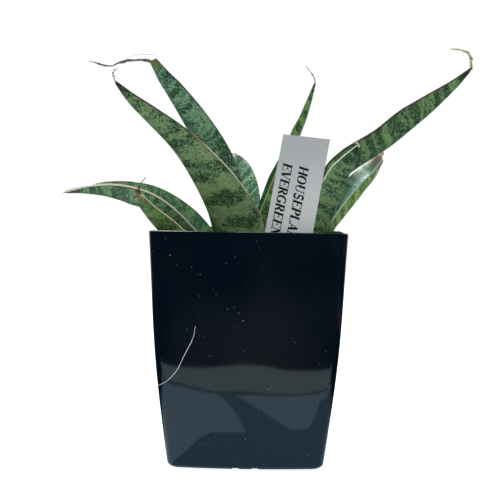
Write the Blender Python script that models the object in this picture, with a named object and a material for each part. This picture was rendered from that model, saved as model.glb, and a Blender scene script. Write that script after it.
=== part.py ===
"""A potted snake plant: nine channelled leaves on two crowns, in a glossy square pot with a stake label.

Frame: metres, +Z up, front towards -Y. The origin is the centre of the pot's underside.
"""

from dataclasses import dataclass
from math import atan2, cos, pi, radians, sin, sqrt

import bmesh
import bpy
from mathutils import Matrix, Vector

MM = 0.001
DEGENERATE = 0.02

# Pot: a square, slightly bowed shell that leans in below its waist
POT_HEIGHT = 124.0
POT_TOP_HALF = 50.1
POT_BASE_HALF = 40.3
POT_WALL = 2.0
POT_BOW = 2.0
POT_CORNER = 3.8
WAIST_HEIGHT = 57.0
WAIST_HALF = 47.1
WAIST_BLEND = 28.0
WAIST_STEPS = 6
BASE_ROUND = 3.0
RIM_ROUND = 0.9
FLOOR_TOP = 5.0
FLOOR_THICKNESS = 2.0
FOOT_WIDTH = 4.0
PAD_HALF = 9.0
DRAIN_RADIUS = 4.0
DRAIN_PLACE = 20.0
NOTCH_WIDTH = 3.4
NOTCH_HEIGHT = 1.0
NOTCH_PLACE = 5.1
SIDE_STEPS = 4
CORNER_STEPS = 3

# Soil fills the pot to a little below the rim
SOIL_DEPTH_BELOW_RIM = 12.0
GAP = 0.35
SOCKET_CLEARANCE = 0.5
SOCKET_ROWS = 12
SOIL_TOP = POT_HEIGHT - SOIL_DEPTH_BELOW_RIM

# The heights of the plant's and the label's points are written for a soil surface this high, and follow it
WRITTEN_SOIL_TOP = 112.0
PLANT_LIFT = Vector((0.0, 0.0, SOIL_TOP - WRITTEN_SOIL_TOP))

# Leaves
LEAF_RING = 12
GREEN_STEPS = 18
DRY_STEPS = 7
LEAF_EDGE = 0.7

# Rhizome: an underground stem that runs between the two groups of leaves and turns up into each
RHIZOME_RADIUS = 4.5
CROWN_RADIUS = 8.0
CROWN_TOP = 97.4
RHIZOME_ROUTE = [(-5, 3, 94), (-4, 3, 90), (2, 3, 86), (12, 1, 85), (23, 0, 86), (30, -1, 90), (32, -1, 94)]

# Stake label: a thin plate with a pointed foot, leaning back in the front right of the pot
LABEL_WIDTH = 26.0
LABEL_LENGTH = 86.0
LABEL_POINT = 16.0
LABEL_POINT_WIDTH = 5.0
LABEL_THICKNESS = 0.5
LABEL_TURN = -20.0
LABEL_BACK = 9.4
LABEL_LEAN = 7.0
LABEL_TOP_CENTRE = (29.7, -24.6, 174.0)


@dataclass
class Leaf:
    """One leaf: a spine from its buried base to its green tip, then the dry point that it ends in.

    Each point of the spine is x, y, z and the leaf's width there, in millimetres, on the middle of the line
    between the two margins. faces are the directions that the channel opens in, evenly spread from base to tip.
    keel and channel are how deep the section is outside and inside, as shares of its width.
    """

    name: str
    spine: list
    faces: list
    dry: list
    keel: float
    channel: float
    dry_width: float = 0.9


LEAVES = [
    Leaf(
        "leaf_front_left",
        [(-4, -8, 98, 13), (-3, -10, 109, 23), (-5.5, -13, 124, 28.5), (-11, -18, 138, 26), (-22, -26, 155, 21),
         (-35, -34, 170, 15.2), (-50, -40, 182.5, 10.2), (-59.5, -43, 190, 6.3), (-67.4, -45, 197.5, 1.6)],
        [(0.1, 0.95, 0.3), (0.3, 0.85, 0.35), (0.5, 0.7, 0.45)],
        [(-68.7, -45, 200), (-69.4, -44, 202.6), (-66.9, -43, 205.6)],
        0.24, 0.12,
    ),
    Leaf(
        "leaf_back_left",
        [(-5, -1, 98, 9), (-6, 0, 110, 14.5), (-10, 2, 125.5, 18), (-14.4, 3, 152.5, 19.6), (-20.2, 2, 168, 17.4),
         (-31.4, -2, 186, 15), (-41.6, -6, 200, 11.4), (-47, -7, 206.5, 8.8), (-52.8, -8, 214.6, 5)],
        [(0.05, 0.95, 0.2), (0.35, 0.9, 0.2), (0.5, 0.75, 0.5)],
        [(-56.4, -9, 215.1), (-61.7, -10, 215.3), (-70.2, -15, 213.2), (-75.7, -17, 210.7), (-86.4, -20, 212.6)],
        0.25, 0.12, 1.2,
    ),
    Leaf(
        "leaf_low_left",
        [(-13, 4, 98, 8), (-18, 3, 110, 12.5), (-26, 1, 124, 15), (-39.5, -3, 137, 15.5), (-52, -7, 144.5, 16),
         (-63, -10, 147.5, 15.5), (-71, -12, 148.3, 13.5), (-79, -14, 148, 10.8), (-89.5, -16, 146, 6.6),
         (-98.5, -17, 143.2, 1.8)],
        [(0.7, -0.45, 0.5), (0.5, -0.45, 0.75), (0, -0.22, 1), (-0.2, -0.03, 1)],
        [(-99.6, -17, 142.8), (-100.8, -17.2, 142.5)],
        0.74, 0.55,
    ),
    Leaf(
        "leaf_near_left",
        [(-15, -7, 98, 8), (-25, -12.5, 108.5, 11), (-34, -17, 117.5, 13), (-41.5, -20, 124, 13.5),
         (-47, -22, 129, 11.8), (-52.5, -25, 134.5, 8.6), (-57.2, -28.5, 140, 6)],
        [(0.6, 0.65, 0.6), (0.5, 0.65, 0.6), (0.4, 0.8, 0.5)],
        [(-58.2, -29.2, 142.6), (-57.6, -29.6, 146), (-56, -30, 149.2), (-53.2, -31, 153)],
        0.33, 0.12, 1.1,
    ),
    Leaf(
        "leaf_back",
        [(-3, 14, 98, 9), (-2, 17.5, 110, 12), (-1.2, 21, 124, 15), (-2, 27, 137.5, 17.5), (-4, 33, 149.5, 18),
         (-6.7, 38, 160, 14.8), (-8.6, 41, 165, 10.4), (-9.8, 43, 167.4, 5)],
        [(0, -0.95, 0.3), (0.1, -0.9, 0.4), (0.2, -0.8, 0.5)],
        [(-10.4, 43.6, 168.4), (-10.9, 44, 169)],
        0.27, 0.13,
    ),
    Leaf(
        "leaf_spear",
        [(1.5, 6, 98, 7.5), (1, 7, 110, 11), (2.6, 8, 124.5, 13.5), (7.2, 9, 139, 14.5), (14, 12, 157, 13.8),
         (24.2, 16, 179.5, 9.8), (28.7, 17, 187.5, 6.9), (32.8, 18, 197, 4.3), (36.9, 20, 208.5, 1.3)],
        [(-0.95, 0.05, 0.3), (-0.92, -0.1, 0.33), (-0.9, -0.18, 0.35), (-0.88, 0.15, 0.35), (-0.7, 0.65, 0.3)],
        [(36.8, 20, 211.4), (34.3, 19, 215.3), (31.2, 18, 218.6)],
        0.5, 0.3, 0.8,
    ),
    Leaf(
        "leaf_right_long",
        [(32.5, 3, 98.3, 9), (33.3, 2.6, 110, 13.5), (34.5, 2, 125, 16.5), (37, 0, 142, 19), (42, -4.5, 158.6, 21),
         (50.6, -7, 165.5, 18.8), (69, -13, 175.6, 15.2), (81, -19, 184.6, 13.8), (92, -24, 192.3, 10.8),
         (105.5, -29, 202.3, 5.2), (113.6, -32, 209.6, 1.4)],
        [(-0.95, -0.1, 0.2), (-0.85, -0.48, 0.42), (-0.6, 0.3, 0.6), (-0.42, 0.7, 0.57), (-0.42, 0.7, 0.57)],
        [(113.4, -32, 214.1), (112, -31, 217.8), (108.6, -30, 219.5), (103.1, -29, 220.1)],
        0.58, 0.38,
    ),
    Leaf(
        "leaf_right_front",
        [(32, -9, 98, 8), (34, -13, 110, 11.5), (37, -18, 125.5, 13.2), (40.2, -21, 138, 13.4), (43.6, -24, 147, 13),
         (47.2, -27.5, 155.5, 11.6), (51.4, -30.5, 162, 7.8), (55.4, -33, 168, 2.6)],
        [(0, 0.97, 0.25), (-0.15, 0.9, 0.3), (-0.3, 0.85, 0.45)],
        [(55.8, -33.2, 169.4), (54.8, -33.2, 170.8), (54.2, -33, 171.6)],
        0.3, 0.12, 1.2,
    ),
    Leaf(
        "leaf_right_back",
        [(38.5, 9.5, 98, 6), (40.5, 11, 110, 7.5), (42.8, 12, 123.2, 9.4), (47.5, 12, 134.4, 13.6), (53.4, 12, 143.6, 15.2),
         (60.2, 12.4, 152.2, 15), (67.8, 13, 159.3, 12.6), (73.4, 13, 164.6, 7.2)],
        [(-0.9, -0.3, 0.15), (-0.68, -0.36, 0.66), (-0.6, -0.46, 0.64)],
        [(74.6, 13, 166.2), (75.9, 13, 168), (76.5, 13, 169.4)],
        0.58, 0.3, 3.2,
    ),
]


def clear_scene():
    for scene_object in list(bpy.data.objects):
        bpy.data.objects.remove(scene_object)


def material(name, colour, roughness, metallic=0.0):
    """A Principled material, made once for each name."""
    found = bpy.data.materials.get(name)
    if found:
        return found
    made = bpy.data.materials.new(name)
    made.use_nodes = True
    shader = made.node_tree.nodes["Principled BSDF"]
    shader.inputs["Base Color"].default_value = (*colour, 1.0)
    shader.inputs["Roughness"].default_value = roughness
    shader.inputs["Metallic"].default_value = metallic
    return made


def collection_of(name):
    found = bpy.data.collections.get(name)
    if not found:
        found = bpy.data.collections.new(name)
        bpy.context.scene.collection.children.link(found)
    return found


def object_from(bm, name, surface, group="potted_snake_plant", smooth=True):
    """Turns a bmesh in millimetres into a named object in metres."""
    bmesh.ops.scale(bm, vec=(MM, MM, MM), verts=bm.verts)
    mesh = bpy.data.meshes.new(name)
    bm.to_mesh(mesh)
    bm.free()
    if smooth:
        mesh.shade_smooth()
        mesh.set_sharp_from_angle(angle=0.7)
    made = bpy.data.objects.new(name, mesh)
    made.data.materials.append(surface)
    collection_of(group).objects.link(made)
    return made


def cutter_from(bm, name):
    """A helper that a Boolean uses and that isn't part of the object."""
    made = object_from(bm, name, material("cutter", (0.8, 0.2, 0.2), 0.5), "cutters", smooth=False)
    made.hide_render = True
    made.display_type = "WIRE"
    return made


def apply_boolean(target, cutter, operation="DIFFERENCE"):
    """Cuts target with cutter, or joins the two, and bakes the result into target's mesh."""
    modifier = target.modifiers.new("cut", "BOOLEAN")
    modifier.operation = operation
    modifier.object = cutter
    graph = bpy.context.evaluated_depsgraph_get()
    result = bpy.data.meshes.new_from_object(target.evaluated_get(graph))
    target.modifiers.remove(modifier)
    bm = bmesh.new()
    bm.from_mesh(result)
    bmesh.ops.triangulate(bm, faces=bm.faces)
    bmesh.ops.dissolve_degenerate(bm, dist=DEGENERATE * MM, edges=bm.edges)
    bm.to_mesh(result)
    bm.free()
    old = target.data
    target.data = result
    bpy.data.meshes.remove(old)


# ---------------------------------------------------------------- pot and soil


def wall_half(height):
    """Outer half width of the pot at its corners, for a height above its foot."""
    lower = (WAIST_HALF - POT_BASE_HALF) / WAIST_HEIGHT
    upper = (POT_TOP_HALF - WAIST_HALF) / (POT_HEIGHT - WAIST_HEIGHT)
    if height > WAIST_HEIGHT + WAIST_BLEND:
        return POT_TOP_HALF - upper * (POT_HEIGHT - height)
    half = POT_BASE_HALF + lower * height
    above = height - (WAIST_HEIGHT - WAIST_BLEND)
    if above > 0:
        half += (upper - lower) * above**2 / (4 * WAIST_BLEND)
    return half


def square_outline(half, corner, bow):
    """Points of a square with round corners and sides that bow outwards, anticlockwise from +X."""
    flat = half - corner
    quarter = []
    for step in range(SIDE_STEPS):
        quarter.append((half, -flat + 2 * flat * step / SIDE_STEPS))
    for step in range(CORNER_STEPS):
        turn = pi / 2 * step / CORNER_STEPS
        quarter.append((flat + corner * cos(turn), flat + corner * sin(turn)))
    points = []
    for side in range(4):
        c, s = round(cos(side * pi / 2)), round(sin(side * pi / 2))
        for x, y in quarter:
            px, py = x * c - y * s, x * s + y * c
            points.append((
                px * (1 + bow / half * (1 - (py / half) ** 2)),
                py * (1 + bow / half * (1 - (px / half) ** 2)),
            ))
    return points


def lofted(rings):
    """A closed solid through rings of points: a cylinder whose own rings are moved onto them."""
    segments = len(rings[0])
    bm = bmesh.new()
    bmesh.ops.create_cone(bm, cap_ends=True, segments=segments, radius1=1.0, radius2=1.0, depth=1.0)
    uprights = [edge for edge in bm.edges if abs(edge.verts[0].co.z - edge.verts[1].co.z) > 0.5]
    bmesh.ops.subdivide_edges(bm, edges=uprights, cuts=len(rings) - 2, use_grid_fill=True)
    for vertex in bm.verts:
        row = round((vertex.co.z + 0.5) * (len(rings) - 1))
        slot = round(atan2(vertex.co.y, vertex.co.x) * segments / (2 * pi)) % segments
        vertex.co = rings[row][slot]
    return bm


def stacked(sections):
    """A closed shell through square sections of (half, height, corner, bow), capped at its first and last."""
    rings = []
    for half, height, corner, bow in sections:
        rings.append([(x, y, height) for x, y in square_outline(half, corner, bow)])
    return lofted(rings)


def fatten(bm, grow):
    """Moves every point of a closed mesh outwards by grow."""
    bm.normal_update()
    outwards = [vertex.normal.copy() for vertex in bm.verts]
    for vertex, normal in zip(bm.verts, outwards):
        vertex.co += normal * grow


def base_cutter():
    """Everything cut out of the pot's underside: four drain holes, and two notches through each side of the foot."""
    bm = bmesh.new()
    for x in (-DRAIN_PLACE, DRAIN_PLACE):
        for y in (-DRAIN_PLACE, DRAIN_PLACE):
            made = bmesh.ops.create_cone(
                bm, cap_ends=True, segments=16, radius1=DRAIN_RADIUS, radius2=DRAIN_RADIUS, depth=3 * FLOOR_TOP)
            bmesh.ops.translate(bm, vec=(x, y, FLOOR_TOP), verts=made["verts"])
    reach = 3 * FOOT_WIDTH
    for side in range(4):
        turn = Matrix.Rotation(side * pi / 2, 4, "Z")
        for place in (-NOTCH_PLACE, NOTCH_PLACE):
            made = bmesh.ops.create_cube(bm, size=1.0)
            bmesh.ops.scale(bm, vec=(NOTCH_WIDTH, reach, 2 * NOTCH_HEIGHT), verts=made["verts"])
            bmesh.ops.translate(bm, vec=(place, POT_BASE_HALF, 0), verts=made["verts"])
            bmesh.ops.transform(bm, matrix=turn, verts=made["verts"])
    return cutter_from(bm, "base_cutter")


def wall_heights():
    """Heights of the wall's sections between its base and its rim, closer together through the waist."""
    blend_low, blend_high = WAIST_HEIGHT - WAIST_BLEND, WAIST_HEIGHT + WAIST_BLEND
    heights = [blend_low / 2]
    heights += [blend_low + (blend_high - blend_low) * step / WAIST_STEPS for step in range(WAIST_STEPS + 1)]
    heights.append((blend_high + POT_HEIGHT) / 2)
    return heights


def build_pot():
    """The shell: foot ring, raised floor with drain holes, bowed walls and rounded rim."""
    under = FLOOR_TOP - FLOOR_THICKNESS
    foot_inner = POT_BASE_HALF - BASE_ROUND - FOOT_WIDTH
    sections = [
        (PAD_HALF - 1, 0, 2, 0),
        (PAD_HALF, under, 2, 0),
        (foot_inner - 1, under, POT_CORNER, POT_BOW),
        (foot_inner, 0, POT_CORNER, POT_BOW),
    ]
    for step in range(4):
        turn = pi / 2 * step / 3
        height = BASE_ROUND * (1 - cos(turn))
        sections.append((wall_half(height) - BASE_ROUND * (1 - sin(turn)), height, POT_CORNER, POT_BOW))
    for height in wall_heights() + [POT_HEIGHT - RIM_ROUND]:
        sections.append((wall_half(height), height, POT_CORNER, POT_BOW))
    inner_corner = POT_CORNER - POT_WALL
    top = wall_half(POT_HEIGHT)
    sections.append((top - 0.3 * RIM_ROUND, POT_HEIGHT - 0.3 * RIM_ROUND, POT_CORNER, POT_BOW))
    sections.append((top - RIM_ROUND, POT_HEIGHT, POT_CORNER, POT_BOW))
    sections.append((top - POT_WALL + 0.3, POT_HEIGHT - 0.1, inner_corner, POT_BOW))
    sections.append((top - POT_WALL, POT_HEIGHT - RIM_ROUND, inner_corner, POT_BOW))
    for height in wall_heights()[-2::-1] + [FLOOR_TOP + 2]:
        sections.append((wall_half(height) - POT_WALL, height, inner_corner, POT_BOW))
    sections.append((wall_half(FLOOR_TOP) - POT_WALL - 2, FLOOR_TOP, inner_corner, POT_BOW))
    sections.append((PAD_HALF, FLOOR_TOP, 2, 0))
    pot = object_from(stacked(sections), "pot", material("pot_gloss", (0.006, 0.012, 0.02), 0.12))
    apply_boolean(pot, base_cutter())


def build_soil():
    """The root ball: fills the pot inside, up to its own slightly domed surface."""
    top = SOIL_TOP
    inset = POT_WALL + GAP
    corner = POT_CORNER - POT_WALL
    low = FLOOR_TOP + GAP
    sections = [(wall_half(low) - inset - 2.4, low, corner, POT_BOW)]
    for height in [FLOOR_TOP + 2.4] + wall_heights()[:-1]:
        sections.append((wall_half(height) - inset, height, corner, POT_BOW))
    sections.append((wall_half(top) - inset, top - 1.5, corner, POT_BOW))
    sections.append((wall_half(top) - inset - 4, top - 0.4, corner, POT_BOW))
    sections.append((wall_half(top) - inset - 16, top, corner, POT_BOW))
    return object_from(stacked(sections), "soil", material("potting_soil", (0.045, 0.03, 0.02), 0.95))


# ---------------------------------------------------------------- leaves


def smooth_point(points, share):
    """A point on the Catmull-Rom curve through points, with share running from 0 to 1 along its chords."""
    lengths = [0.0]
    for a, b in zip(points, points[1:]):
        lengths.append(lengths[-1] + (b - a).xyz.length)
    along = share * lengths[-1]
    last = len(points) - 1
    i = max(k for k in range(last) if lengths[k] <= along + 1e-9)
    span = lengths[i + 1] - lengths[i]
    f = (along - lengths[i]) / span
    start, end = points[i], points[i + 1]
    leaving = arriving = end - start
    if i > 0:
        leaving = (end - points[i - 1]) / (lengths[i + 1] - lengths[i - 1]) * span
    if i + 2 <= last:
        arriving = (points[i + 2] - start) / (lengths[i + 2] - lengths[i]) * span
    f2, f3 = f * f, f * f * f
    return start * (2 * f3 - 3 * f2 + 1) + leaving * (f3 - 2 * f2 + f) + end * (3 * f2 - 2 * f3) + arriving * (f3 - f2)


def face_at(faces, share):
    """The direction that a leaf's channel opens in, blended between the two nearest of its faces."""
    place = share * (len(faces) - 1)
    i = min(int(place), len(faces) - 2)
    return Vector(faces[i]).normalized().lerp(Vector(faces[i + 1]).normalized(), place - i)


def leaf_sections(leaf):
    """(centre, margin direction, opening direction, width, keel depth, channel depth, edge) from base to dry end."""
    spine = [Vector(point) + PLANT_LIFT.to_4d() - Vector((0, 0, 0, 1)) for point in leaf.spine]
    tip = spine[-1]
    dry = [tip.xyz] + [Vector(point) + PLANT_LIFT for point in leaf.dry]
    stations = []
    for step in range(GREEN_STEPS + 1):
        share = step / GREEN_STEPS
        point = smooth_point(spine, share)
        closing = share**5
        keel = leaf.keel + (0.5 - leaf.keel) * closing
        channel = leaf.channel - (leaf.channel + 0.4) * closing
        edge = min(LEAF_EDGE, 0.3 * point.w)
        stations.append((point.xyz, share, point.w, keel * point.w, channel * point.w, edge))
    for step in range(1, DRY_STEPS + 1):
        share = step / DRY_STEPS
        width = leaf.dry_width + (tip.w - leaf.dry_width) * max(0.0, 1 - 2.5 * share) ** 2
        width *= 1 - 0.35 * share
        stations.append((smooth_point(dry, share), 1.0, width, 0.5 * width, -0.4 * width, 0.1 * width))
    sections = []
    for i, (centre, share, width, keel, channel, edge) in enumerate(stations):
        before, after = stations[max(i - 1, 0)][0], stations[min(i + 1, len(stations) - 1)][0]
        along = (after - before).normalized()
        opening = face_at(leaf.faces, share)
        opening = (opening - along * opening.dot(along)).normalized()
        sections.append((centre, along.cross(opening), opening, width, keel, channel, edge))
    return sections


def leaf_mesh(leaf, grow=0.0, rows=None):
    """The leaf through its sections, or only its first rows. grow fattens it all round, for its socket."""
    rings = []
    for centre, margin, opening, width, keel, channel, edge in leaf_sections(leaf)[:rows]:
        ring = []
        for step in range(LEAF_RING):
            angle = 2 * pi * (step + 0.5) / LEAF_RING
            across = cos(angle) / cos(pi / LEAF_RING)
            bulge = sqrt(max(0.0, 1 - across**2))
            depth = edge / 2 - (channel + edge / 2) * bulge**2
            if sin(angle) > 0:
                depth = -edge / 2 - (keel - edge / 2) * bulge
            ring.append(centre + margin * across * width / 2 + opening * depth)
        rings.append(ring)
    bm = lofted(rings)
    fatten(bm, grow)
    return bm


def build_leaves(soil):
    """Makes each leaf, and cuts the socket that its buried base fills."""
    for leaf in LEAVES:
        object_from(leaf_mesh(leaf), leaf.name, material("leaf_green", (0.1, 0.2, 0.08), 0.45))
        apply_boolean(soil, cutter_from(leaf_mesh(leaf, SOCKET_CLEARANCE, SOCKET_ROWS), f"{leaf.name}_socket"))


def stem(name, grow, surface, group="potted_snake_plant"):
    """The rhizome: a round stem along its route, swollen into a flat-topped crown at each end."""
    low, high = Vector(RHIZOME_ROUTE[0]), Vector(RHIZOME_ROUTE[-1])
    ends = [end.xy.to_3d() + Vector((0, 0, CROWN_TOP)) for end in (low, high)]
    route = [point + PLANT_LIFT for point in [ends[0], *map(Vector, RHIZOME_ROUTE), ends[1]]]
    curve = bpy.data.curves.new(name, "CURVE")
    curve.dimensions = "3D"
    curve.bevel_depth = MM
    curve.bevel_resolution = 2
    curve.use_fill_caps = True
    spline = curve.splines.new("POLY")
    steps = 3 * len(route)
    spline.points.add(steps)
    for step, point in enumerate(spline.points):
        share = step / steps
        swelling = abs(2 * share - 1) ** 4
        point.co = (*(smooth_point(route, share) * MM), 1.0)
        point.radius = RHIZOME_RADIUS + (CROWN_RADIUS - RHIZOME_RADIUS) * swelling
    holder = bpy.data.objects.new(name, curve)
    bpy.context.scene.collection.objects.link(holder)
    mesh = bpy.data.meshes.new_from_object(holder.evaluated_get(bpy.context.evaluated_depsgraph_get()))
    bpy.data.objects.remove(holder)
    bm = bmesh.new()
    bm.from_mesh(mesh)
    bpy.data.meshes.remove(mesh)
    bmesh.ops.remove_doubles(bm, verts=bm.verts, dist=0.00001)
    bmesh.ops.scale(bm, vec=(1 / MM, 1 / MM, 1 / MM), verts=bm.verts)
    fatten(bm, grow)
    if group == "cutters":
        return cutter_from(bm, name)
    return object_from(bm, name, surface)


def build_rhizome(soil):
    """The underground stem, buried whole, in a close hollow that the leaves' sockets open into."""
    orange = material("rhizome_orange", (0.45, 0.2, 0.07), 0.6)
    stem("rhizome", 0.0, orange)
    apply_boolean(soil, stem("rhizome_socket", SOCKET_CLEARANCE, orange, "cutters"))


# ---------------------------------------------------------------- label


def label_mesh(grow=0.0):
    """A plate standing in the XZ plane with its top edge's middle at the origin, and its foot cut to a point."""
    shoulder = LABEL_LENGTH - LABEL_POINT
    bm = bmesh.new()
    bmesh.ops.create_cube(bm, size=1.0)
    size = (LABEL_WIDTH + 2 * grow, LABEL_THICKNESS + 2 * grow, LABEL_LENGTH + 2 * grow)
    bmesh.ops.scale(bm, vec=size, verts=bm.verts)
    bmesh.ops.translate(bm, vec=(0, 0, -LABEL_LENGTH / 2), verts=bm.verts)
    everything = bm.verts[:] + bm.edges[:] + bm.faces[:]
    bmesh.ops.bisect_plane(bm, geom=everything, dist=1e-5, plane_co=(0, 0, -shoulder), plane_no=(0, 0, 1))
    foot = [vertex for vertex in bm.verts if vertex.co.z < -LABEL_LENGTH + 1]
    narrowing = (LABEL_POINT_WIDTH + 2 * grow) / (LABEL_WIDTH + 2 * grow)
    bmesh.ops.scale(bm, vec=(narrowing, 1, 1), verts=foot)
    lean = Matrix.Rotation(radians(LABEL_LEAN), 4, "Y")
    back = Matrix.Rotation(radians(-LABEL_BACK), 4, "X")
    turn = Matrix.Rotation(radians(LABEL_TURN), 4, "Z")
    bmesh.ops.transform(bm, matrix=turn @ back @ lean, verts=bm.verts)
    bmesh.ops.translate(bm, vec=Vector(LABEL_TOP_CENTRE) + PLANT_LIFT, verts=bm.verts)
    return bm


def build_label(soil):
    """The stake label, and the slit that its foot stands in."""
    object_from(label_mesh(), "plant_label", material("label_plastic", (0.75, 0.77, 0.77), 0.4), smooth=False)
    apply_boolean(soil, cutter_from(label_mesh(SOCKET_CLEARANCE), "label_socket"))


clear_scene()
build_pot()
soil_block = build_soil()
build_leaves(soil_block)
build_rhizome(soil_block)
build_label(soil_block)
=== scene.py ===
"""Looks of a potted snake plant: mottled leaves, potting mix, glossy square pot and stake label."""

import logging
import math
import random
from dataclasses import dataclass
from enum import Enum
from typing import Sequence, Union

import bmesh
import bpy
from mathutils import Matrix, Vector, noise


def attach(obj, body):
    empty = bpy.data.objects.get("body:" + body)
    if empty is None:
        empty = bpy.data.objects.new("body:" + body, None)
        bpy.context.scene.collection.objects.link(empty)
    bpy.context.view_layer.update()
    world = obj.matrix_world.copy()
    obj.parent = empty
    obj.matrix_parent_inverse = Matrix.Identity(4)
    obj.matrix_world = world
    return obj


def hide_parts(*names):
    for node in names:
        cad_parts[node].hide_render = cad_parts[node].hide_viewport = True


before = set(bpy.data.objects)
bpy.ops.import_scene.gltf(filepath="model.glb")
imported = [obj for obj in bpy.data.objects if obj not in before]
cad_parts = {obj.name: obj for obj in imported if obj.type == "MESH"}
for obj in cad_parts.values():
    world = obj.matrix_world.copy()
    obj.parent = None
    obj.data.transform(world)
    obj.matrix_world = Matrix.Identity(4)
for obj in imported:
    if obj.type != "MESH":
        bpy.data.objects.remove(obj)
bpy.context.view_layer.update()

log = logging.getLogger("snake_plant")
MM = 0.001
BODY = "root"

Socket = bpy.types.NodeSocket
Node = bpy.types.Node
Material = bpy.types.Material
Piece = bpy.types.Object
Shape = bmesh.types.BMesh
Point = Sequence[float]
Rings = Sequence[Sequence[Vector]]
Colour = tuple[float, float, float]
Value = Union[float, Sequence[float], Socket]


def paint(red: float, green: float, blue: float) -> tuple[float, float, float, float]:
    """A linear colour from display values of 0 to 255.

    Args:
        red: Red, as shown on a display.
        green: Green, as shown on a display.
        blue: Blue, as shown on a display.

    Returns:
        The linear red, green and blue, and an alpha of 1.
    """
    linear = []
    for part in (red, green, blue):
        share = part / 255
        linear.append(share / 12.92 if share <= 0.04045 else ((share + 0.055) / 1.055) ** 2.4)
    return (*linear, 1.0)


# ---------------------------------------------------------------- shader graphs


class Graph:
    """Adds and links the nodes of one tree."""

    def __init__(self, tree: bpy.types.NodeTree) -> None:
        """Keeps the tree that nodes are added to."""
        self.tree = tree

    def put(self, kind: str, inputs: dict[Union[int, str], Value] | None = None, **settings: object) -> Node:
        """Adds a node.

        Args:
            kind: The node's type name, without its ShaderNode prefix.
            inputs: A number, a colour or a linked socket for each input, by name or index.
            **settings: Values for the node's own properties.

        Returns:
            The new node.
        """
        node = self.tree.nodes.new(f"ShaderNode{kind}")
        for name, value in settings.items():
            setattr(node, name, value)
        for key, value in (inputs or {}).items():
            self.feed(node.inputs[key], value)
        return node

    def feed(self, socket: Socket, value: Value) -> None:
        """Links a socket to another, or sets its value."""
        if isinstance(value, Socket):
            self.tree.links.new(value, socket)
        else:
            socket.default_value = value

    def math(self, operation: str, *values: Value) -> Socket:
        """One Math node's result."""
        return self.put("Math", dict(enumerate(values)), operation=operation).outputs[0]

    def times(self, a: Value, b: Value) -> Socket:
        """One number times another."""
        return self.math("MULTIPLY", a, b)

    def plus(self, a: Value, b: Value) -> Socket:
        """The sum of two numbers."""
        return self.math("ADD", a, b)

    def less(self, a: Value, b: Value) -> Socket:
        """One number less another."""
        return self.math("SUBTRACT", a, b)

    def mix(self, factor: Value, low: Value, high: Value) -> Socket:
        """A blend of two colours."""
        return self.put("Mix", {0: factor, 6: low, 7: high}, data_type="RGBA").outputs[2]

    def blend(self, factor: Value, low: Value, high: Value) -> Socket:
        """A blend of two numbers."""
        return self.put("Mix", {0: factor, 2: low, 3: high}, data_type="FLOAT").outputs[0]

    def step(self, value: Value, start: Value, end: Value, low: Value = 0.0, high: Value = 1.0) -> Socket:
        """A smooth step from low to high as value goes from start to end."""
        inputs = {0: value, 1: start, 2: end, 3: low, 4: high}
        return self.put("MapRange", inputs, interpolation_type="SMOOTHSTEP").outputs[0]

    def noise(self, vector: Value, scale: Value, detail: float = 2.0, rough: float = 0.5,
              distortion: float = 0.0) -> Socket:
        """A noise texture's value."""
        inputs = {"Vector": vector, "Scale": scale, "Detail": detail, "Roughness": rough,
                  "Distortion": distortion}
        return self.put("TexNoise", inputs).outputs[0]

    def vector(self, x: Value, y: Value, z: Value) -> Socket:
        """A vector from three numbers."""
        return self.put("CombineXYZ", {0: x, 1: y, 2: z}).outputs[0]

    def split(self, vector: Value) -> list[Socket]:
        """The three numbers of a vector."""
        return list(self.put("SeparateXYZ", {0: vector}).outputs)

    def scaled(self, vector: Value, by: Point) -> Socket:
        """A vector times another."""
        return self.put("VectorMath", {0: vector, 1: by}, operation="MULTIPLY").outputs[0]

    def attribute(self, name: str) -> Socket:
        """A vector kept on the points of the piece's own mesh."""
        return self.put("Attribute", attribute_name=name).outputs["Vector"]

    def place(self) -> Socket:
        """The point in the piece's own space, in metres."""
        return self.put("TexCoord").outputs["Object"]

    def use(self, effect: str, **inputs: Value) -> Node:
        """Places a shared effect's node group, with its inputs given by name."""
        node = self.put("Group", node_tree=bpy.data.node_groups[effect])
        for name, value in inputs.items():
            self.feed(node.inputs[name], value)
        return node

    def grain(self, place: Value, scale: float, rough: float, spread: float) -> Node:
        """The fine_grain effect, placed."""
        return self.use("fine_grain", Place=place, Scale=scale, Rough=rough, Spread=spread)


class Effect:
    """A shader node group that several finishes share, built once."""

    def __init__(self, name: str, takes: dict[str, str], gives: dict[str, str]) -> None:
        """Makes the group and its sockets.

        Args:
            name: The group's name.
            takes: The names of its inputs, with spaces between them, by kind of socket.
            gives: The names of its outputs, in the same way.
        """
        self.tree = bpy.data.node_groups.new(name, "ShaderNodeTree")
        for way, kinds in (("INPUT", takes), ("OUTPUT", gives)):
            for kind, labels in kinds.items():
                for label in labels.split():
                    self.tree.interface.new_socket(label, in_out=way, socket_type=f"NodeSocket{kind}")
        self.graph = Graph(self.tree)
        self.given = self.tree.nodes.new("NodeGroupInput").outputs
        self.result = self.tree.nodes.new("NodeGroupOutput").inputs

    def give(self, name: str, socket: Socket) -> None:
        """Links one of the group's outputs."""
        self.tree.links.new(socket, self.result[name])


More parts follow.
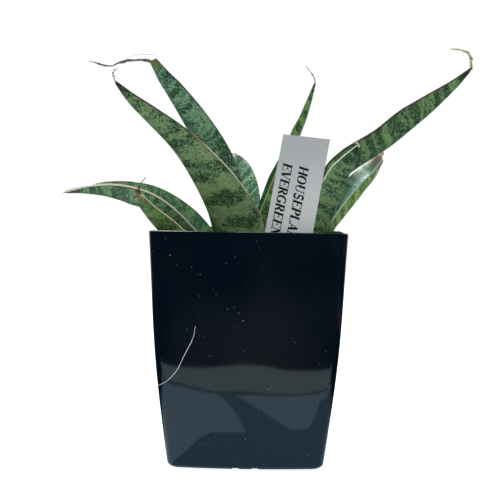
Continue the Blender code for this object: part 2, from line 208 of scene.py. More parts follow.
def mottled_skin() -> None:
    """The leaf's skin: dark flecks gathered in ragged cross bands, with paler plain zones between them.

    Its Skin input is millimetres across the face and along the leaf, and a number that tells the faces apart.
    """
    effect = Effect("mottled_skin", {"Vector": "Skin", "Color": "Light Plain Dark",
                                     "Float": "Spacing Slant Cover Fleck Stretch Soft"},
                    {"Color": "Color", "Float": "Height"})
    g, given = effect.graph, effect.given
    arc, along, depth = g.split(given["Skin"])
    wander = g.noise(g.vector(g.times(arc, 0.09), g.times(along, 0.05), depth), 1.0, 2.0)
    wander = g.times(g.less(wander, 0.5), 2.2)
    slanted = g.math("MULTIPLY_ADD", arc, given["Slant"], along)
    lane = g.plus(g.math("DIVIDE", slanted, given["Spacing"]), wander)
    band = g.noise(g.vector(g.times(arc, 0.035), lane, depth), 1.0, 1.2, 0.45)
    across = g.math("DIVIDE", g.math("DIVIDE", arc, given["Fleck"]), given["Stretch"])
    fleck_place = g.vector(across,
                           g.math("DIVIDE", g.math("MULTIPLY_ADD", arc, 0.35, along), given["Fleck"]), depth)
    coarse = g.noise(fleck_place, 0.62, 2.0, 0.6, 0.7)
    fine = g.noise(fleck_place, 1.45, 1.0, 0.5, 0.6)
    fleck = g.blend(0.56, coarse, fine)
    low = g.less(0.63, g.times(given["Cover"], 0.05))
    high = g.less(0.50, g.times(given["Cover"], 0.08))
    edge = g.step(band, 0.36, 0.62, low, high)
    above = g.less(fleck, edge)
    mask = g.step(above, g.times(given["Soft"], -1.0), g.plus(given["Soft"], 0.01))
    tone = g.noise(g.vector(g.times(arc, 0.2), g.times(along, 0.14), depth), 1.0, 3.0, 0.6)
    plain = g.step(band, 0.50, 0.38)
    ground = g.mix(plain, given["Light"], given["Plain"])
    ground = g.mix(g.step(tone, 0.62, 0.36, 0.0, 0.20), ground, given["Dark"])
    halo = g.step(above, -0.07, 0.0, 0.0, 0.22)
    ground = g.mix(halo, ground, given["Dark"])
    depth_of_fleck = g.times(mask, g.step(fine, 0.3, 0.6, 0.78, 0.97))
    effect.give("Color", g.mix(depth_of_fleck, ground, given["Dark"]))
    effect.give("Height", g.plus(g.times(mask, -0.25), g.times(tone, 0.6)))


def margin_line() -> None:
    """The leaf's horny margin: a pale cord of skin, rusty in places, with a thin dark line beside it."""
    effect = Effect("margin_line", {"Color": "Ground Cord Rust Shade", "Vector": "Skin",
                                    "Float": "Rim Width Line Rusty"}, {"Color": "Color"})
    g, given = effect.graph, effect.given
    wear = g.noise(g.scaled(given["Skin"], (0.3, 0.09, 1.0)), 1.0, 3.0, 0.6)
    ragged = g.noise(g.scaled(given["Skin"], (1.0, 0.6, 1.0)), 1.0, 2.0)
    rim = g.plus(given["Rim"], g.times(g.less(ragged, 0.5), 0.28))
    cord = g.step(rim, given["Width"], g.plus(given["Width"], 0.12), 1.0, 0.0)
    beside = g.plus(given["Width"], given["Line"])
    line = g.step(rim, beside, g.plus(beside, 0.3), 0.85, 0.0)
    rusty = g.step(wear, g.less(0.75, given["Rusty"]), g.less(0.85, given["Rusty"]))
    lined = g.mix(line, given["Ground"], given["Shade"])
    effect.give("Color", g.mix(cord, lined, g.mix(rusty, given["Cord"], given["Rust"])))


DUST_LAYERS = ((700.0, 0.060, 0.10), (460.0, 0.050, 0.07), (200.0, 0.028, 0.06))


def settled_dust() -> None:
    """Sparse pale specks of dust and a few lint dots, over any finish.

    Each layer has its cells to the metre, its speck's share of a cell, and the share of cells that it fills.
    """
    effect = Effect("settled_dust", {"Color": "Ground Speck", "Vector": "Place", "Float": "Amount"},
                    {"Color": "Color", "Float": "Mask"})
    g, given = effect.graph, effect.given
    masks = []
    for scale, size, filled in DUST_LAYERS:
        cells = g.put("TexVoronoi", {"Vector": given["Place"], "Scale": scale})
        pick = g.split(cells.outputs["Color"])
        chosen = g.math("GREATER_THAN", pick[0], g.less(1.0, g.times(given["Amount"], filled)))
        bright = g.math("MULTIPLY_ADD", g.math("POWER", pick[1], 1.8), 0.85, 0.15)
        spot = g.step(cells.outputs["Distance"], size, size * 2.2, 1.0, 0.0)
        masks.append(g.times(g.times(chosen, bright), spot))
    mask = g.math("MAXIMUM", masks[0], g.math("MAXIMUM", masks[1], masks[2]))
    effect.give("Color", g.mix(mask, given["Ground"], given["Speck"]))
    effect.give("Mask", mask)


def fine_grain() -> None:
    """A fine surface grain, as a height and a small change of roughness."""
    effect = Effect("fine_grain", {"Vector": "Place", "Float": "Scale Rough Spread"},
                    {"Float": "Height Roughness"})
    g, given = effect.graph, effect.given
    broad = g.noise(given["Place"], g.times(given["Scale"], 0.08), 2.0)
    effect.give("Height", g.noise(given["Place"], given["Scale"], 3.0, 0.6))
    effect.give("Roughness", g.math("MULTIPLY_ADD", g.less(broad, 0.5), given["Spread"], given["Rough"]))


def new_material(name: str) -> tuple[Material, Graph, Node]:
    """An empty material.

    Args:
        name: The material's name.

    Returns:
        The material, its graph, and its Principled shader, which is already linked to the output.
    """
    material = bpy.data.materials.new(name)
    material.use_nodes = True
    graph = Graph(material.node_tree)
    shader = next(node for node in material.node_tree.nodes if node.type == "BSDF_PRINCIPLED")
    return material, graph, shader


def dress(g: Graph, shader: Node, colour: Value, rough: Value, height: Value | None = None,
          strength: float = 0.5, distance: float = 0.0003, **fixed: Value) -> None:
    """Feeds a shader.

    Args:
        g: The material's graph.
        shader: Its Principled shader.
        colour: The base colour.
        rough: The roughness.
        height: What the surface's bump rises and falls with, or none for a smooth surface.
        strength: The bump's strength.
        distance: The bump's depth, in metres.
        **fixed: Inputs that are the same all over, by name, with _ for a space.
    """
    g.feed(shader.inputs["Base Color"], colour)
    g.feed(shader.inputs["Roughness"], rough)
    if height is not None:
        bump = g.put("Bump", {"Strength": strength, "Distance": distance, "Height": height})
        g.feed(shader.inputs["Normal"], bump.outputs[0])
    for name, value in fixed.items():
        shader.inputs[name.replace("_", " ")].default_value = value


# ---------------------------------------------------------------- mesh helpers


def loft(rings: Rings, marks: dict[str, Rings] | None = None) -> Shape:
    """A closed skin through rings of points, from a cylinder whose own rings are moved onto them.

    Args:
        rings: Rings of the same number of points, from the first cap to the last.
        marks: Vectors to keep on the points, by attribute name, laid out as rings is.

    Returns:
        The new mesh, in the units of rings.
    """
    segments = len(rings[0])
    bm = bmesh.new()
    bmesh.ops.create_cone(bm, cap_ends=True, segments=segments, radius1=1.0, radius2=1.0, depth=1.0)
    uprights = [edge for edge in bm.edges if abs(edge.verts[0].co.z - edge.verts[1].co.z) > 0.5]
    bmesh.ops.subdivide_edges(bm, edges=uprights, cuts=len(rings) - 2, use_grid_fill=True)
    layers = {name: bm.verts.layers.float_vector.new(name) for name in marks or {}}
    for vertex in bm.verts:
        row = round((vertex.co.z + 0.5) * (len(rings) - 1))
        slot = round(math.atan2(vertex.co.y, vertex.co.x) * segments / (2 * math.pi)) % segments
        vertex.co = rings[row][slot]
        for name, layer in layers.items():
            vertex[layer] = marks[name][row][slot]
    return bm


def to_mesh(bm: Shape, name: str) -> bpy.types.Mesh:
    """Turns a shape into mesh data, and frees it."""
    mesh = bpy.data.meshes.new(name)
    bm.to_mesh(mesh)
    bm.free()
    return mesh


def in_scene(name: str, data: bpy.types.ID) -> Piece:
    """A new object at the origin of the scene."""
    made = bpy.data.objects.new(name, data)
    bpy.context.scene.collection.objects.link(made)
    return made


def take_up(whole: Shape, part: Shape) -> None:
    """Adds one shape to another."""
    mesh = to_mesh(part, "part")
    whole.from_mesh(mesh)
    bpy.data.meshes.remove(mesh)


def finish_piece(bm: Shape, name: str, material: Material,
                 sharp: float = 0.7) -> Piece:
    """Turns a mesh into a finished piece that rides on the plant's one body.

    Args:
        bm: The mesh, in millimetres, which is used up.
        name: The piece's name.
        material: Its finish.
        sharp: The smallest angle that is shaded as an edge, in radians.

    Returns:
        The new object.
    """
    bmesh.ops.scale(bm, vec=(MM, MM, MM), verts=bm.verts)
    for face in bm.faces:
        face.smooth = True
    mesh = to_mesh(bm, name)
    mesh.set_sharp_from_angle(angle=sharp)
    mesh.materials.append(material)
    piece = in_scene(name, mesh)
    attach(piece, BODY)
    return piece


def smooth_point(points: Sequence[Vector], share: float) -> Vector:
    """A point on the Catmull-Rom curve through points.

    Args:
        points: The curve's points, of three or four numbers.
        share: How far along the chords, from 0 to 1.

    Returns:
        The point, with as many numbers as the given ones.
    """
    lengths = [0.0]
    for a, b in zip(points, points[1:]):
        lengths.append(lengths[-1] + (b - a).xyz.length)
    along = share * lengths[-1]
    last = len(points) - 1
    i = max(k for k in range(last) if lengths[k] <= along + 1e-9)
    span = lengths[i + 1] - lengths[i]
    f = (along - lengths[i]) / span
    start, end = points[i], points[i + 1]
    leaving = arriving = end - start
    if i > 0:
        leaving = (end - points[i - 1]) / (lengths[i + 1] - lengths[i - 1]) * span
    if i + 2 <= last:
        arriving = (points[i + 2] - start) / (lengths[i + 2] - lengths[i]) * span
    f2, f3 = f * f, f * f * f
    ends = start * (2 * f3 - 3 * f2 + 1) + leaving * (f3 - 2 * f2 + f)
    return ends + end * (3 * f2 - 2 * f3) + arriving * (f3 - f2)


def smooth_path(points: Sequence[Point], steps: int) -> list[Vector]:
    """Evenly spread points of the curve through points."""
    corners = [Vector(point) for point in points]
    return [smooth_point(corners, step / steps) for step in range(steps + 1)]


def frames_along(points: Sequence[Vector]) -> list[tuple[Vector, Vector]]:
    """Two directions square to a path at each of its points, turning as little as they can."""
    frames = []
    side = Vector((1.0, 0.13, 0.21))
    for i in range(len(points)):
        along = (points[min(i + 1, len(points) - 1)] - points[max(i - 1, 0)]).normalized()
        side = (side - along * side.dot(along)).normalized()
        frames.append((side.copy(), along.cross(side)))
    return frames


def tube(path: Sequence[Vector], radii: Sequence[float], segments: int) -> Shape:
    """A closed round tube along a path, with its lengthwise place kept as the attribute 'along'."""
    rings, marks, run = [], [], 0.0
    for i, (centre, (side, up)) in enumerate(zip(path, frames_along(path))):
        run += (centre - path[i - 1]).length if i else 0.0
        ring = []
        for slot in range(segments):
            angle = 2 * math.pi * slot / segments
            ring.append(centre + (side * math.cos(angle) + up * math.sin(angle)) * radii[i])
        rings.append(ring)
        marks.append([Vector((run, i / (len(path) - 1), radii[i]))] * segments)
    return loft(rings, {"along": marks})


# ---------------------------------------------------------------- leaves


@dataclass(frozen=True)
class MarginLook:
    """A margin's cord and the line beside it, in millimetres, their colours, and how rusty the cord is."""

    width: float
    line: float
    cord: Colour
    rust: Colour
    rusty: float
    shade: Colour


class Margin(Enum):
    """Ways that a leaf's margin looks; the pale mint one is partly a real pale cord and partly a painted sheen
    along the edge.
    """

    CREAM = MarginLook(0.24, 0.26, (242, 234, 196), (184, 146, 100), 0.2, (48, 72, 44))
    RUSTY = MarginLook(0.16, 0.30, (206, 172, 120), (160, 100, 58), 0.36, (44, 54, 34))
    DARK = MarginLook(0.0, 0.36, (90, 84, 60), (82, 52, 46), 0.3, (38, 58, 44))
    # Partly the margin's own pale cord, partly a painted sheen of light along the leaf's edge.
    PALE_SHEEN = MarginLook(0.20, 0.06, (206, 230, 214), (176, 196, 160), 0.2, (110, 146, 118))
    FINE = MarginLook(0.03, 0.16, (198, 202, 150), (140, 120, 80), 0.3, (40, 62, 38))
    WHITE = MarginLook(0.22, 0.24, (252, 248, 226), (214, 186, 156), 0.10, (50, 70, 50))

    def over(self, g: Graph, ground: Socket, skin: Socket, rim: Socket) -> Socket:
        """The colour of a leaf with this margin painted over its ground."""
        look = self.value
        made = g.use("margin_line", Ground=ground, Skin=skin, Rim=rim, Width=look.width, Line=look.line,
                     Cord=paint(*look.cord), Rust=paint(*look.rust), Rusty=look.rusty,
                     Shade=paint(*look.shade))
        return made.outputs["Color"]


@dataclass(frozen=True)
class Skin:
    """The colours and markings of one face of a leaf."""

    light: Colour = (140, 178, 122)
    plain: Colour = (146, 176, 120)
    dark: Colour = (34, 72, 42)
    spacing: float = 8.0
    slant: float = 0.15
    cover: float = 0.5
    fleck: float = 0.74
    stretch: float = 1.4
    soft: float = 0.014

    def on(self, g: Graph, skin: Socket) -> Node:
        """The mottled_skin effect, placed with this skin's values."""
        return g.use("mottled_skin", Skin=skin, Light=paint(*self.light), Plain=paint(*self.plain),
                     Dark=paint(*self.dark), Spacing=self.spacing, Slant=self.slant, Cover=self.cover,
                     Fleck=self.fleck, Stretch=self.stretch, Soft=self.soft)


@dataclass(frozen=True)
class Tip:
    """How a leaf's skin changes at its tip, and the painted shade that darkens it toward its base."""

    colour: Colour = (34, 60, 42)
    start: float = 0.93
    base: Colour = (70, 112, 58)
    base_end: float = 0.24
    base_shade: float = 0.4


@dataclass
class Leaf:
    """One green leaf, with its dry point.

    Each point of the spine is x, y, z and the leaf's width there, in millimetres, on the middle of the line
    between the two margins. faces are the directions that the channel opens in, from base to tip. plus and
    minus are the margins on either side of the channel.
    """

    name: str
    spine: list[Point]
    faces: list[Point]
    dry: list[Point]
    keel: float
    channel: float
    dry_width: float = 0.9
    outer: Skin = Skin()
    inner: Skin = Skin(light=(120, 156, 120))
    tip: Tip = Tip()
    plus: Margin = Margin.DARK
    minus: Margin = Margin.CREAM
    minus_zones: tuple = ()
    glow: float = 0.15
    knots: float = 0.35
    strands: int = 2
    lump: tuple[float, float, float] | None = None
    bead: float = 0.0
    seed: float = 0.0
    ring: int = 44
    rows: int = 130
    edge: float = 0.7

    def stations(self) -> list[tuple[Vector, float, float, float, float, float]]:
        """Centre, share of the length, width, keel, channel and margin thickness, from base to tip."""
        spine = [Vector(point) for point in self.spine]
        made = []
        for step in range(self.rows + 1):
            share = step / self.rows
            point = smooth_point(spine, share)
            closing = share**5
            keel = self.keel + (0.5 - self.keel) * closing
            channel = self.channel - (self.channel + 0.4) * closing
            made.append((point.xyz, share, point.w, keel * point.w, channel * point.w,
                         min(self.edge, 0.3 * point.w)))
        centre, _, width, keel, channel, edge = made[-1]
        ahead = (centre - made[-2][0]).normalized()
        for step in range(1, 8):
            turn = math.pi / 2 * step / 7.4
            small = math.cos(turn)
            made.append((centre + ahead * math.sin(turn) * 0.42 * width, 1.0, width * small, keel * small,
                         channel * small, edge * small))
        return made

    def opening(self, share: float) -> Vector:
        """The direction that the channel opens in, at a share of the leaf's length."""
        place = share * (len(self.faces) - 1)
        i = min(int(place), len(self.faces) - 2)
        return Vector(self.faces[i]).normalized().lerp(Vector(self.faces[i + 1]).normalized(), place - i)

    def ring_at(self, station: tuple, along: Vector) -> tuple[list[Vector], list[float]]:
        """One ring of the skin.

        Args:
            station: One of the leaf's stations.
            along: The spine's direction there.

        Returns:
            The ring's points, and how far across each is, from -1 to 1.
        """
        centre, share, width, keel, channel, edge = station
        opening = self.opening(share)
        opening = (opening - along * opening.dot(along)).normalized()
        margin = along.cross(opening)
        points, places = [], []
        for slot in range(self.ring):
            angle = 2 * math.pi * (slot + 0.5) / self.ring
            across = math.cos(angle) / math.cos(math.pi / self.ring)
            bulge = math.sqrt(max(0.0, 1 - across**2))
            depth = edge / 2 - (channel + edge / 2) * bulge**2
            if math.sin(angle) > 0:
                depth = -edge / 2 - (keel - edge / 2) * bulge
            point = centre + margin * across * width / 2 + opening * depth
            ripple = noise.noise(Vector((across * 2.2, share * 14, self.seed + (slot < self.ring / 2) * 9)))
            points.append(point + opening * ripple * 0.010 * width * bulge)
            places.append(across)
        return points, places

    def skin_mesh(self) -> Shape:
        """The leaf's skin, with its coordinates for the markings kept as attributes 'skin' and 'rim'."""
        stations = self.stations()
        rings, skin, rim, run = [], [], [], 0.0
        half = self.ring // 2
        for i, station in enumerate(stations):
            before, after = stations[max(i - 1, 0)][0], stations[min(i + 1, len(stations) - 1)][0]
            points, places = self.ring_at(station, (after - before).normalized())
            run += (station[0] - stations[i - 1][0]).length if i else 0.0
            steps = [(points[slot] - points[slot - 1]).length for slot in range(self.ring)]
            skin_row, rim_row = [], []
            for slot in range(self.ring):
                inner = slot >= half
                first = half if inner else 0
                from_first = sum(steps[first + 1:slot + 1])
                whole = sum(steps[first + 1:first + half])
                edge_gap = min(from_first, whole - from_first)
                arc = (from_first - whole / 2) * (-1 if inner else 1)
                skin_row.append(Vector((arc, run, self.seed + (40 if inner else 0))))
                rim_row.append(Vector((edge_gap * max(1.0, 10.0 / station[2]), places[slot],
                                       1.0 if inner else 0.0)))
            rings.append(points)
            skin.append(skin_row)
            rim.append(rim_row)
        shares = [[Vector((station[1], i / len(stations), 0.0))] * self.ring
                  for i, station in enumerate(stations)]
        return loft(rings, {"skin": skin, "rim": rim, "grown": shares})

    def finish(self) -> Material:
        """The leaf's own material, made from the shared effects."""
        material, g, shader = new_material(f"{self.name}_skin")
        skin, rim = g.attribute("skin"), g.split(g.attribute("rim"))
        share = g.split(g.attribute("grown"))[0]
        outer, inner = self.outer.on(g, skin), self.inner.on(g, skin)
        inside = g.math("GREATER_THAN", rim[2], 0.5)
        colour = g.mix(inside, outer.outputs["Color"], inner.outputs["Color"])
        wander = g.noise(g.scaled(skin, (0.25, 0.12, 1.0)), 1.0, 2.0)
        uneven = g.math("MULTIPLY_ADD", g.less(wander, 0.5), 0.12, share)
        tip = self.tip
        # Painted shade: low on the leaf, down in the pot among the other leaves, the skin is darkened toward
        # the base colour.
        base_shade = g.step(uneven, tip.base_end, tip.base_end - 0.14, 0.0, tip.base_shade)
        colour = g.mix(base_shade, colour, paint(*tip.base))
        colour = g.mix(g.step(uneven, tip.start, tip.start + 0.05, 0.0, 0.92), colour, paint(*tip.colour))
        minus, plus = (margin.over(g, colour, skin, rim[0]) for margin in (self.minus, self.plus))
        for start, margin in self.minus_zones:
            zone = margin.over(g, colour, skin, rim[0])
            minus = g.mix(g.step(uneven, start - 0.02, start + 0.02), minus, zone)
        colour = g.mix(g.math("GREATER_THAN", rim[1], 0.0), minus, plus)
        grain = g.grain(g.place(), 1600.0, 0.40, 0.22)
        groove = g.noise(g.scaled(skin, (3.2, 0.05, 1.0)), 1.0, 2.0)
        height = g.plus(g.times(groove, 0.7), g.times(grain.outputs["Height"], 0.35))
        height = g.plus(height, outer.outputs["Height"])
        dress(g, shader, colour, grain.outputs["Roughness"], height, 0.35, 0.00025,
              Subsurface_Weight=self.glow, Subsurface_Radius=(0.55, 1.0, 0.35), Subsurface_Scale=0.0016,
              Specular_IOR_Level=0.4)
        return material

    def dry_meshes(self) -> Shape:
        """The withered thread at the leaf's tip: a twisted knotty core and loose strands beside it."""
        spine = [Vector(point) for point in self.spine]
        core = [smooth_point(spine, 0.985).xyz, *smooth_path([spine[-1].xyz, *self.dry], 64)]
        last = len(core) - 1
        merged = bmesh.new()
        for strand in range(self.strands + 1):
            path, radii = [], []
            lean = 0.0 if strand == 0 else 0.75
            for i, (point, (side, up)) in enumerate(zip(core, frames_along(core))):
                share = i / last
                knot = noise.noise(Vector((share * 11, self.seed + strand * 3, 1.7)))
                wide = self.dry_width / 2 * (1 - 0.45 * share) * (1 + self.knots * 1.6 * knot)
                turn = 9 * share + strand * 2.4 + knot
                if self.lump:
                    middle, reach, swell = self.lump
                    swell *= (1 + 0.35 * knot) * (1.0 if strand == 0 else 0.6)
                    wide += swell * math.exp(-((share - middle) / reach) ** 2)
                off = lean * wide * (1 + 0.8 * noise.noise(Vector((share * 5, strand, self.seed))))
                wide += self.bead * math.exp(-((share - 0.97) / 0.03) ** 2) if strand == 0 else 0.0
                path.append(point + (side * math.cos(turn) + up * math.sin(turn)) * off)
                thinning = min(1.0, 1.3 * (1.02 - share) + 0.35)
                radii.append(max(0.07, wide * (0.8 if strand == 0 else 0.42) * thinning))
            take_up(merged, tube(path, radii, 7))
        return merged

    def build(self, dry_finish: Material) -> list[Piece]:
        """Makes the leaf and its dry point, in place of the CAD leaf.

        Args:
            dry_finish: The withered skin's material.

        Returns:
            The two pieces.
        """
        green = finish_piece(self.skin_mesh(), f"{self.name}_green", self.finish())
        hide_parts(self.name)
        dry = finish_piece(self.dry_meshes(), f"{self.name}_dry", dry_finish)
        return [green, dry]


@dataclass(frozen=True)
class WitheredSkin:
    """The finish of dry leaf points: grey-brown, streaked pale and dark along the thread, with a painted glow
    of its pale colour where one is given.
    """

    name: str
    dark: Colour = (84, 70, 62)
    middle: Colour = (140, 126, 114)
    pale: Colour = (214, 206, 196)
    paleness: float = 0.5
    painted_glow: float = 0.0

    def material(self) -> Material:
        """The finish's material."""
        material, g, shader = new_material(self.name)
        run = g.split(g.attribute("along"))[0]
        place = g.place()
        knots = g.noise(g.vector(g.times(run, 0.9), 0.0, 0.0), 1.0, 3.0, 0.6)
        streak = g.noise(g.scaled(place, (1500, 1500, 500)), 1.0, 3.0, 0.65)
        both = g.blend(0.5, knots, streak)
        colour = g.mix(g.step(both, 0.40, 0.50), paint(*self.dark), paint(*self.middle))
        upper = g.step(both, 0.56 - 0.12 * self.paleness, 0.62 - 0.08 * self.paleness)
        colour = g.mix(upper, colour, paint(*self.pale))
        rough = g.grain(place, 2200.0, 0.75, 0.2).outputs["Roughness"]
        # Painted glow: the pale colour is also given off as light, so the thread looks lit even in shade.
        dress(g, shader, colour, rough, streak, 0.6, 0.0002, Emission_Color=paint(*self.pale),
              Emission_Strength=self.painted_glow)
        return material


THREAD_FINISHES = {
    # The lint has a painted glow, so the fine fibre on the pot looks bright white.
    "lint": WitheredSkin("white_lint", (240, 240, 236), (250, 250, 246), (254, 254, 252), 1.0, 0.4),
    "grey": WitheredSkin("withered_grey"),
    "white": WitheredSkin("withered_white", (60, 54, 48), (190, 184, 176), (248, 246, 240), 1.0),
    "brown": WitheredSkin("withered_brown", (38, 24, 22), (104, 70, 60), (232, 200, 184), 0.55),
    "cream": WitheredSkin("withered_cream", (146, 116, 82), (216, 192, 156), (250, 240, 216), 0.9),
}


def plant_leaves() -> list[tuple[Leaf, str]]:
    """The nine leaves with the finish of each one's dry point."""
    bright = Skin((130, 176, 120), (136, 184, 98), (34, 84, 44), spacing=5.0, slant=0.7, cover=0.6)
    front_left = Leaf(
        "leaf_front_left",
        [(-4, -8, 98, 13), (-3, -10, 109, 23), (-5.5, -13, 124, 28.5), (-11, -18, 138, 26),
         (-22, -26, 155, 21), (-35, -34, 170, 15.2), (-50, -40, 182.5, 10.2), (-59.5, -43, 190, 6.3),
         (-67.4, -45, 197.5, 1.6)],
        [(0.1, 0.95, 0.3), (0.3, 0.85, 0.35), (0.5, 0.7, 0.45)],
        [(-68.7, -45, 200), (-69.4, -44, 202.6), (-66.9, -43, 205.6)],
        0.24, 0.12, 1.15, plus=Margin.DARK, minus=Margin.RUSTY,
        minus_zones=((0.34, Margin.CREAM), (0.6, Margin.RUSTY), (0.66, Margin.DARK)),
        knots=0.8, strands=1, seed=1.0, outer=Skin(spacing=7.5, slant=0.30, cover=0.7))
    back_left = Leaf(
        "leaf_back_left",
        [(-5, -1, 98, 9), (-6, 0, 110, 14.5), (-10, 2, 125.5, 18), (-14.4, 3, 152.5, 19.6),
         (-20.2, 2, 168, 17.4), (-31.4, -2, 186, 15), (-41.6, -6, 200, 11.4), (-47, -7, 206.5, 8.8),
         (-52.8, -8, 214.6, 5)],
        [(0.05, 0.95, 0.2), (0.35, 0.9, 0.2), (0.5, 0.75, 0.5)],
        [(-56.4, -9, 215.1), (-61.7, -10, 215.3), (-70.2, -15, 213.2), (-75.7, -17, 210.7),
         (-86.4, -20, 212.6)],
        0.25, 0.12, 1.7, plus=Margin.PALE_SHEEN, minus=Margin.DARK, seed=2.0,
        outer=Skin((156, 204, 168), (150, 190, 144), (34, 82, 54), spacing=5.2, slant=-0.25, cover=1.0),
        tip=Tip((112, 132, 62), start=0.95))
    low_left = Leaf(
        "leaf_low_left",
        [(-13, 4, 98, 8), (-18, 3, 110, 12.5), (-26, 1, 124, 15), (-39.5, -3, 137, 15.5),
         (-52, -7, 144.5, 16), (-63, -10, 147.5, 15.5), (-71, -12, 148.3, 13.5), (-79, -14, 148, 10.8),
         (-89.5, -16, 146, 6.6), (-98.5, -17, 143.2, 1.8)],
        [(0.7, -0.45, 0.5), (0.5, -0.45, 0.75), (0, -0.22, 1), (-0.2, -0.03, 1)],
        [(-99.6, -17, 142.8), (-100.8, -17.2, 142.5)],
        0.74, 0.55, plus=Margin.RUSTY, minus=Margin.WHITE, seed=3.0,
        outer=Skin((144, 184, 140), (142, 180, 126), (66, 106, 74), cover=1.0, spacing=4.2, slant=0.0,
                   fleck=1.5, soft=0.04),
        inner=Skin((144, 182, 138), (146, 186, 130), (80, 128, 102), cover=0.9, fleck=2.4, spacing=8.0,
                   soft=0.05))
    near_left = Leaf(
        "leaf_near_left",
        [(-15, -7, 98, 8), (-25, -12.5, 108.5, 11), (-34, -17, 117.5, 13), (-41.5, -20, 124, 13.5),
         (-47, -22, 129, 11.8), (-52.5, -25, 134.5, 8.6), (-57.2, -28.5, 140, 6)],
        [(0.6, 0.65, 0.6), (0.5, 0.65, 0.6), (0.4, 0.8, 0.5)],
        [(-58.3, -29.2, 142.4), (-58.0, -29.6, 145.4), (-56.6, -30, 148.2), (-54.2, -31, 151.2)],
        0.33, 0.12, 0.9, plus=Margin.DARK, minus=Margin.CREAM, seed=4.0,
        outer=Skin((128, 170, 100), (134, 178, 94), (58, 82, 42), cover=0.6, spacing=4.0, soft=0.03),
        lump=(0.20, 0.22, 1.7), bead=0.42, knots=0.7, tip=Tip((214, 196, 158), start=0.97))
    back = Leaf(
        "leaf_back",
        [(-3, 14, 98, 9), (-2, 17.5, 110, 12), (-1.2, 21, 124, 15), (-2, 27, 137.5, 17.5),
         (-4, 33, 149.5, 18), (-6.7, 38, 160, 14.8), (-8.6, 41, 165, 10.4), (-9.8, 43, 167.4, 5)],
        [(0, -0.95, 0.3), (0.1, -0.9, 0.4), (0.2, -0.8, 0.5)],
        [(-10.4, 43.6, 168.4), (-10.9, 44, 169)],
        0.27, 0.13, plus=Margin.DARK, minus=Margin.PALE_SHEEN, glow=0.4, seed=5.0,
        # Its inner skin's very pale mint is partly the leaf's colour and partly a painted sheen of light from
        # above.
        inner=Skin((204, 240, 218), (208, 244, 214), (92, 150, 116), spacing=3.4, slant=0.9, cover=1.2,
                   stretch=3.0, soft=0.03),
        outer=Skin((160, 206, 176), (166, 210, 178), (70, 126, 96), spacing=4.5, cover=0.5))
    spear = Leaf(
        "leaf_spear",
        [(1.5, 6, 98, 7.5), (1, 7, 110, 11), (2.6, 8, 124.5, 13.5), (7.2, 9, 139, 14.5), (14, 12, 157, 13.8),
         (24.2, 16, 179.5, 9.8), (28.7, 17, 187.5, 6.9), (32.8, 18, 197, 4.3), (36.9, 20, 208.5, 1.3)],
        [(-0.95, 0.05, 0.3), (-0.92, -0.1, 0.33), (-0.9, -0.18, 0.35), (-0.88, 0.15, 0.35),
         (-0.7, 0.65, 0.3)],
        [(36.8, 20, 211.4), (34.3, 19, 215.3), (31.2, 18, 218.6)],
        0.5, 0.3, 0.8, plus=Margin.FINE, minus=Margin.DARK, seed=6.0, outer=bright,
        # Its inner skin's dark green is painted shade, for the shade inside the channel.
        inner=Skin((34, 104, 34), (42, 116, 38), (20, 76, 28), spacing=9.0, cover=0.1))
    right_long = Leaf(
        "leaf_right_long",
        [(32.5, 3, 98.3, 9), (33.3, 2.6, 110, 13.5), (34.5, 2, 125, 16.5), (37, 0, 142, 19),
         (42, -4.5, 158.6, 21), (50.6, -7, 165.5, 18.8), (69, -13, 175.6, 15.2), (81, -19, 184.6, 13.8),
         (92, -24, 192.3, 10.8), (105.5, -29, 202.3, 5.2), (113.6, -32, 209.6, 1.4)],
        [(-0.95, -0.1, 0.2), (-0.85, -0.48, 0.42), (-0.6, 0.3, 0.6), (-0.42, 0.7, 0.57), (-0.42, 0.7, 0.57)],
        [(113.4, -32, 214.1), (112, -31, 217.8), (108.6, -30, 219.5), (103.1, -29, 220.1)],
        0.58, 0.38, 1.6, plus=Margin.DARK, minus=Margin.DARK, seed=7.0, strands=3,
        outer=Skin((132, 172, 118), (136, 176, 108), (38, 78, 44), cover=0.8, spacing=4.8, slant=0.3),
        inner=Skin((104, 156, 80), (110, 162, 84), (36, 92, 40), cover=0.8))
    right_front = Leaf(
        "leaf_right_front",
        [(32, -9, 98, 8), (34, -13, 110, 11.5), (37, -18, 125.5, 13.2), (40.2, -21, 138, 13.4),
         (43.6, -24, 147, 13), (47.2, -27.5, 155.5, 11.6), (51.4, -30.5, 162, 7.8), (55.4, -33, 168, 2.6)],
        [(0, 0.97, 0.25), (-0.15, 0.9, 0.3), (-0.3, 0.85, 0.45)],
        [(55.8, -33.2, 169.4), (54.8, -33.2, 170.8), (54.2, -33, 171.6)],
        0.3, 0.12, 1.5, plus=Margin.PALE_SHEEN, minus=Margin.WHITE, seed=8.0, strands=3, knots=0.9,
        outer=Skin((138, 178, 130), (140, 172, 112), (38, 76, 44), cover=0.7, spacing=4.4, slant=0.1))
